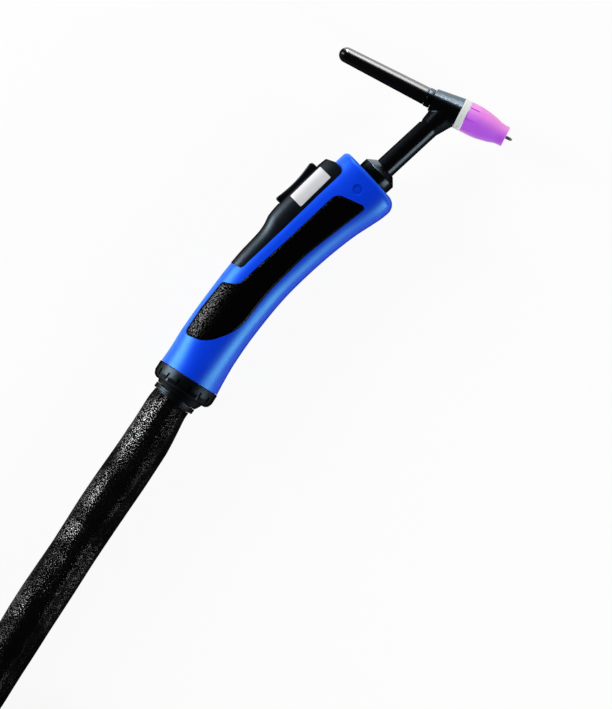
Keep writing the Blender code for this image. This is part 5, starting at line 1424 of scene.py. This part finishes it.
# %% Insulator
INSULATOR_START = HEAD_FRONT + GAP
INSULATOR_END = INSULATOR_START + 0.0049
insulator = [
    (INSULATOR_START - LIP, 0.0108, 0),
    (INSULATOR_START, 0.0108, 0),
    (INSULATOR_START, 0.0113, 0.0004),
    (INSULATOR_START + 0.0022, 0.0113, 0),
    (INSULATOR_START + 0.0024, 0.0111, 0),
    (INSULATOR_START + 0.0027, 0.0113, 0),
    (INSULATOR_END, 0.0113, 0.0005),
    (INSULATOR_END, 0.0050, 0.0002),
    (INSULATOR_START - LIP, 0.0050, 0),
]
dress(turned("white_insulator", insulator, HEAD), "ptfe", "torch", "insulator_ring", crease=25.0)

# %% [markdown]
# The nozzle's side view keeps its width over the grooves and then draws in to a short straight mouth. Its inside is
# turned too, because the nozzle comes off the head and then shows it.

# %% Nozzle
NOZZLE_BASE = INSULATOR_END + GAP
NOZZLE_LENGTH, NOZZLE_RADIUS, EXIT_RADIUS, NOZZLE_AROUND = 0.0311, 0.0112, 0.0074, 120
GROOVES, GROOVE_FLOOR, GROOVE_WIDTH, GROOVE_END, GROOVE_TURN = 8, 0.0104, 0.0009, 0.0074, 0.16
outer = [(0.0, NOZZLE_RADIUS, 0.0004), (0.24, NOZZLE_RADIUS, 0.006), (0.40, NOZZLE_RADIUS - 0.0005, 0.010)]
outer += [(0.52, NOZZLE_RADIUS - 0.0012, 0.008), (0.66, (NOZZLE_RADIUS + EXIT_RADIUS) / 2 - 0.0002, 0.012)]
outer += [(0.78, EXIT_RADIUS + 0.0005, 0.006), (0.86, EXIT_RADIUS, 0.006), (1.0, EXIT_RADIUS, 0.0007)]
nozzle_side = [(NOZZLE_BASE + NOZZLE_LENGTH * share, radius, arc) for share, radius, arc in outer]
nozzle_side += [(NOZZLE_BASE + NOZZLE_LENGTH, EXIT_RADIUS - 0.0020, 0.0005)]
nozzle_side += [(NOZZLE_BASE + NOZZLE_LENGTH * 0.78, EXIT_RADIUS - 0.0015, 0.004)]
nozzle_side += [(NOZZLE_BASE + 0.0145, 0.0090, 0.004), (NOZZLE_BASE + 0.0096, 0.0090, 0)]
nozzle_side += [(NOZZLE_BASE + 0.0076, 0.0078, 0), (NOZZLE_BASE, 0.0078, 0)]
nozzle = turned("violet_nozzle", nozzle_side, HEAD, NOZZLE_AROUND)
low, high = NOZZLE_BASE - 0.001, NOZZLE_BASE + GROOVE_END
carved(nozzle, bars_round("nozzle_grooves", GROOVES, GROOVE_FLOOR, 0.0130, GROOVE_WIDTH, low, high, HEAD, GROOVE_TURN))
dress(nozzle, "ceramic", "nozzle", "gas_nozzle", crease=22.0)

# %% [markdown]
# ## Metals
# Tungsten is ground to its point along the wire, brass is turned, copper is drawn. Each gets fine lines or a
# clouded tone in its roughness, because that is where worn metal differs from a mirror.

# %% Metals
def metal(name, dark, light, rough):
    """A worn metal: its tone and its polish change together in slow clouds, under fine lines."""
    made = finish(name, Metallic=1.0)
    cloud = made.noise(0.004, 3.0, 0.6)
    lines = made.noise(0.0004, 2.0, 0.6)
    made.set(
        Base_Color=made.tone(cloud, dark, light),
        Roughness=rough + 0.16 * cloud + 0.06 * lines,
        Normal=made.relief(lines, 0.000015),
    )


metal("tungsten", (0.13, 0.13, 0.14), (0.24, 0.24, 0.25), 0.28)
metal("brass", (0.60, 0.40, 0.15), (0.76, 0.55, 0.25), 0.22)
metal("copper", (0.62, 0.28, 0.16), (0.78, 0.42, 0.27), 0.24)
metal("steel", (0.46, 0.46, 0.47), (0.62, 0.62, 0.63), 0.24)

# %% [markdown]
# The electrode is one thin rod through the whole head, from inside the cap to past the ceramic. Only its ground
# tip shows, but it is made whole, because it slides and the nozzle comes off.

# %% Electrode
WIRE, TIP_LONG, TIP_RADIUS = 0.0012, 0.0018, 0.0006
tungsten_end = NOZZLE_BASE + NOZZLE_LENGTH + 0.0050
tungsten_start = BASE - CAP_LENGTH + CAP_WALL + 0.0030
wire = [(tungsten_start, 0, 0), (tungsten_start, WIRE, 0.0001), (tungsten_end - TIP_LONG, WIRE, 0.0002)]
wire += [(tungsten_end, TIP_RADIUS, 0.0002), (tungsten_end, 0, 0)]
dress(turned("ground_electrode", wire, HEAD, 40), "tungsten", "tungsten", "electrode", crease=20.0)

# %% [markdown]
# ## Rear nut, ball and clamp ring
# The nut screws the two shells together and traps the ball of the hose joint. Its rim is notched all round so that
# a hand can turn it. The rim is rounded in its side view first and the notches are cut across it, so each lug gets
# its own small light.

# %% Nut
NUT_RADIUS, NUT_LENGTH, BALL_RADIUS, BALL_BEHIND = 0.0234, 0.0120, 0.0190, 0.0055
BALL_ROOM = 0.0004
NUT_BORE = NUT_RADIUS - 0.0019
NOTCHES, NOTCH_WIDTH, NOTCH_FLOOR = 16, 0.0020, NUT_RADIUS - 0.0012


def ball_at(distance):
    """The radius of the nut's hollow round the ball, at a distance behind the ball's middle."""
    return math.sqrt((BALL_RADIUS + BALL_ROOM) ** 2 - distance**2)


nut_side = [(GAP, NUT_RADIUS, 0.0005), (0.0075, NUT_RADIUS, 0.003), (0.0105, 0.0222, 0.003)]
nut_side += [(NUT_LENGTH, 0.0200, 0.0012)]
nut_side += [(run, ball_at(run - BALL_BEHIND), 0) for run in (NUT_LENGTH, 0.0105, 0.0090)]
nut_side += [(0.0090, NUT_BORE, 0), (GAP, NUT_BORE, 0)]
nut = turned("notched_nut", nut_side, REAR, 128)
low, high = NUT_LENGTH - 0.0075, NUT_LENGTH + 0.004
carved(nut, bars_round("nut_notches", NOTCHES, NOTCH_FLOOR, NUT_RADIUS + 0.004, NOTCH_WIDTH, low, high, REAR))
dress(nut, "black_plastic", "torch", "rear_nut", crease=24.0)

# %% [markdown]
# The ball is cut off flat in front and runs out behind into the tail that the sleeve starts on. The clamp ring sits
# round that tail, with one fine groove, and presses the leather down.

# %% Ball and clamp ring
BALL_STEPS = 24
TAIL_RADIUS, BALL_BORE = 0.0120, 0.0083
CLAMP_START, CLAMP_END, CLAMP_RADIUS, CLAMP_LIP, CLAMP_BORE = 0.0105, 0.0142, 0.0165, 0.0143, 0.0123
front_run, back_run = -0.0140, 0.0102
front_angle, back_angle = math.asin(front_run / BALL_RADIUS), math.asin(back_run / BALL_RADIUS)
angles = [front_angle * (1 - i / BALL_STEPS) + back_angle * i / BALL_STEPS for i in range(BALL_STEPS + 1)]
ball_side = [(BALL_RADIUS * math.sin(a), BALL_RADIUS * math.cos(a), 0) for a in angles]
ball_side += [(back_run, TAIL_RADIUS, 0), (BALL_TAIL, TAIL_RADIUS, 0)]
ball_side += [(BALL_TAIL, BALL_BORE, 0), (front_run, BALL_BORE, 0)]
dress(turned("joint_ball", ball_side, BALL, 96), "black_plastic", "hose", "hose_ball", crease=30.0)
clamp_side = [
    (CLAMP_START, CLAMP_RADIUS, 0.0006),
    (0.0121, CLAMP_RADIUS, 0),
    (0.0123, 0.0162, 0),
    (0.0126, CLAMP_RADIUS, 0),
    (CLAMP_END, CLAMP_RADIUS, 0.0007),
    (CLAMP_END, CLAMP_LIP, 0),
    (BALL_TAIL + LIP, CLAMP_LIP, 0),
    (BALL_TAIL + LIP, CLAMP_BORE, 0),
    (CLAMP_START, CLAMP_BORE, 0),
]
clamp = dress(turned("clamp_ring", clamp_side, BALL), "black_plastic", "hose", "sleeve_clamp", crease=25.0)

# %% [markdown]
# ## Cuff and machine plug
# Past the picture the leather ends in a ribbed rubber cuff, and the hose in its plug: a ribbed boot that spares
# the hose a sharp bend, a grip with flutes, a grooved brass union nut and the hollow brass pin that carries gas
# and current.

# %% Cuff
CUFF_RADIUS, CUFF_MOUTH, CUFF_SHOULDER = 0.0178, 0.0100, 0.0120
CUFF_RIBS = 4
cuff_side = [(GAP, 0, 0), (GAP, CUFF_RADIUS, 0.0010), (CUFF_SHOULDER, CUFF_RADIUS, 0.0010)]
for i in range(CUFF_RIBS):
    run = 0.0145 + 0.0036 * i
    slope = CUFF_RADIUS - (run - CUFF_SHOULDER) * (CUFF_RADIUS - CUFF_MOUTH) / 0.0180
    cuff_side += [(run, slope - 0.0010, 0.0004), (run + 0.0008, slope - 0.0010, 0.0004)]
    cuff_side += [(run + 0.0016, slope - 0.0002, 0.0004)]
cuff_side += [(CUFF_LENGTH, CUFF_MOUTH, 0.0008), (CUFF_LENGTH, 0, 0)]
cuff = dress(turned("ribbed_cuff", cuff_side, CUFF, 80), "hose_rubber", "hose", "sleeve_cuff", crease=30.0)

# %% [markdown]
# The boot's ribs let it bend with the hose. The grip behind it is fluted, so that a gloved hand can hold it.

# %% Boot and grip of the plug
BOOT_LENGTH, BOOT_MOUTH, PLUG_RADIUS, GRIP_RADIUS, GRIP_LENGTH = 0.0300, 0.0092, 0.0110, 0.0130, 0.0300
BOOT_RIBS, RIB_STEP, RIB_DEPTH = 5, 0.0040, 0.0009
FLUTES, FLUTE_FLOOR, FLUTE_WIDTH = 14, 0.0124, 0.0016
boot_side = [(0, 0, 0), (0, BOOT_MOUTH, 0.0006)]
for i in range(BOOT_RIBS):
    run = RIB_STEP + RIB_STEP * i
    slope = BOOT_MOUTH + 0.0018 * run / 0.021
    boot_side += [(run, slope, 0.0004), (run + 0.0005, slope - RIB_DEPTH, 0.0003)]
    boot_side += [(run + 0.0016, slope - RIB_DEPTH, 0.0003), (run + 0.0021, slope, 0.0004)]
boot_side += [(BOOT_LENGTH, PLUG_RADIUS, 0.0004), (BOOT_LENGTH, 0, 0)]
boot = dress(turned("ribbed_boot", boot_side, PLUG, 72), "hose_rubber", "hose", "plug_boot", crease=30.0)

body_start, body_end = BOOT_LENGTH + GAP, BOOT_LENGTH + GAP + GRIP_LENGTH
body_side = [(body_start, 0, 0), (body_start, PLUG_RADIUS, 0.0004), (body_start + 0.0045, GRIP_RADIUS, 0.0015)]
body_side += [(body_end - 0.0060, GRIP_RADIUS, 0.0020), (body_end, 0.0114, 0.0004), (body_end, 0, 0)]
grip_body = turned("plug_grip", body_side, PLUG, 96)
low, high = body_start + 0.0055, body_end - 0.0070
carved(grip_body, bars_round("flutes", FLUTES, FLUTE_FLOOR, 0.016, FLUTE_WIDTH, low, high, PLUG))
dress(grip_body, "black_plastic", "hose", "plug_body", crease=26.0)

# %% [markdown]
# The insert's flat face seats against the power source. The nut that draws it there turns freely round it.

# %% Insert, pin and union nut
INSERT_LENGTH, INSERT_BORE = 0.0160, 0.0045
PIN_ROOT, PIN_REACH, PLUG_PIN_RADIUS, PLUG_PIN_BORE = 0.0042, 0.0110, 0.0042, 0.0021
UNION_LENGTH, UNION_RADIUS, UNION_BORE = 0.0180, 0.0150, 0.0113
insert_start, insert_end = body_end + GAP, body_end + GAP + INSERT_LENGTH
pin_root, pin_end = insert_end - PIN_ROOT, insert_end + PIN_REACH
insert_side = [(insert_start, 0, 0), (insert_start, PLUG_RADIUS, 0), (insert_end, PLUG_RADIUS, 0.0005)]
insert_side += [(insert_end, INSERT_BORE, 0.0002), (pin_root - GAP, INSERT_BORE, 0), (pin_root - GAP, 0, 0)]
insert = dress(turned("plug_face_insert", insert_side, PLUG, 80), "black_plastic", "hose", "plug_insert", crease=26.0)
pin_side = [(pin_root, 0, 0), (pin_root, PLUG_PIN_RADIUS, 0), (pin_end, PLUG_PIN_RADIUS, 0.0006)]
pin_side += [(pin_end, PLUG_PIN_BORE, 0.0003), (insert_end, PLUG_PIN_BORE, 0), (insert_end, 0, 0)]
pin = dress(turned("hollow_pin", pin_side, PLUG, 56), "brass", "hose", "plug_power_pin", crease=26.0)
union_start = insert_start + GAP
union_end = union_start + UNION_LENGTH
union_side = [(union_start, UNION_RADIUS, 0.0006), (union_end, UNION_RADIUS, 0.0006)]
union_side += [(union_end, UNION_BORE, 0.0003), (union_start, UNION_BORE, 0)]
union = turned("grooved_union_nut", union_side, PLUG, 96)
low, high = union_start + 0.0036, union_start + 0.0144
carved(union, bars_round("grooves", 12, 0.0141, 0.018, 0.0016, low, high, PLUG))
dress(union, "brass", "union_nut", "plug_union_nut", crease=26.0)

# %% [markdown]
# ## Screws on the hidden side
# Two countersunk screws hold the shells. Each gets a plain cross recess, made of two bars a quarter turn apart.

# %% Screws
SCREW_HEAD, SCREW_SHANK, SLOT_WIDTH, SLOT_HALF = 0.0027, 0.0013, 0.0005, 0.0015
for where, (x, y) in SCREWS.items():
    face = side_of_grip(x, y)
    screw_side = [(-face + 0.0009, 0, 0), (-face + 0.0009, SCREW_HEAD, 0.0002), (-face + 0.0029, SCREW_SHANK, 0.0002)]
    screw_side += [(0.0080, SCREW_SHANK, 0.0002), (0.0080, 0, 0)]
    screw = turned(f"cross_screw_{where}", screw_side, upright(x, y), 48)
    for k in range(2):
        low, high, turn = -face - 0.001, -face + 0.0019, 0.25 + 0.25 * k
        carved(screw, bars_round(f"slot_{k}", 1, -SLOT_HALF, SLOT_HALF, SLOT_WIDTH, low, high, upright(x, y), turn))
    dress(screw, "steel", "torch", f"handle_screw_{where}", crease=26.0)

# %% [markdown]
# ## What is inside
# The inner pieces keep their CAD form. They only get their finishes: the board's green varnish, the seal's brown
# rubber, and the metals above.

# %% Inner pieces
board_green = finish("board", Specular_IOR_Level=0.5)
varnish = board_green.noise(0.002, 3.0, 0.6)
board_green.set(
    Base_Color=board_green.tone(varnish, (0.012, 0.10, 0.035), (0.030, 0.17, 0.065)),
    Roughness=0.30 + 0.2 * varnish,
    Normal=board_green.relief(varnish, 0.00002),
)
seal = finish("seal_rubber", Specular_IOR_Level=0.4)
bloom = seal.noise(0.001, 3.0, 0.6)
seal.set(
    Base_Color=seal.tone(bloom, (0.10, 0.020, 0.012), (0.20, 0.045, 0.030)),
    Roughness=0.45 + 0.2 * bloom,
    Normal=seal.relief(bloom, 0.00002),
)
slot_of = {row["node"]: row["material_slot"] for row in frame["record"]["subparts"]}
shown = [obj for obj in frame["nodes"].values() if not obj.hide_render]
for obj in shown:
    obj.data.materials.clear()
    obj.data.materials.append(FINISHES[slot_of[obj.name]])
print("CAD nodes that keep their form:", ", ".join(sorted(obj.name for obj in shown)))

# %% [markdown]
# ## Cords and the last line
# The lengths of sleeve and hose are worked out once more.

length_of(sleeve_line)
length_of(hose_line)
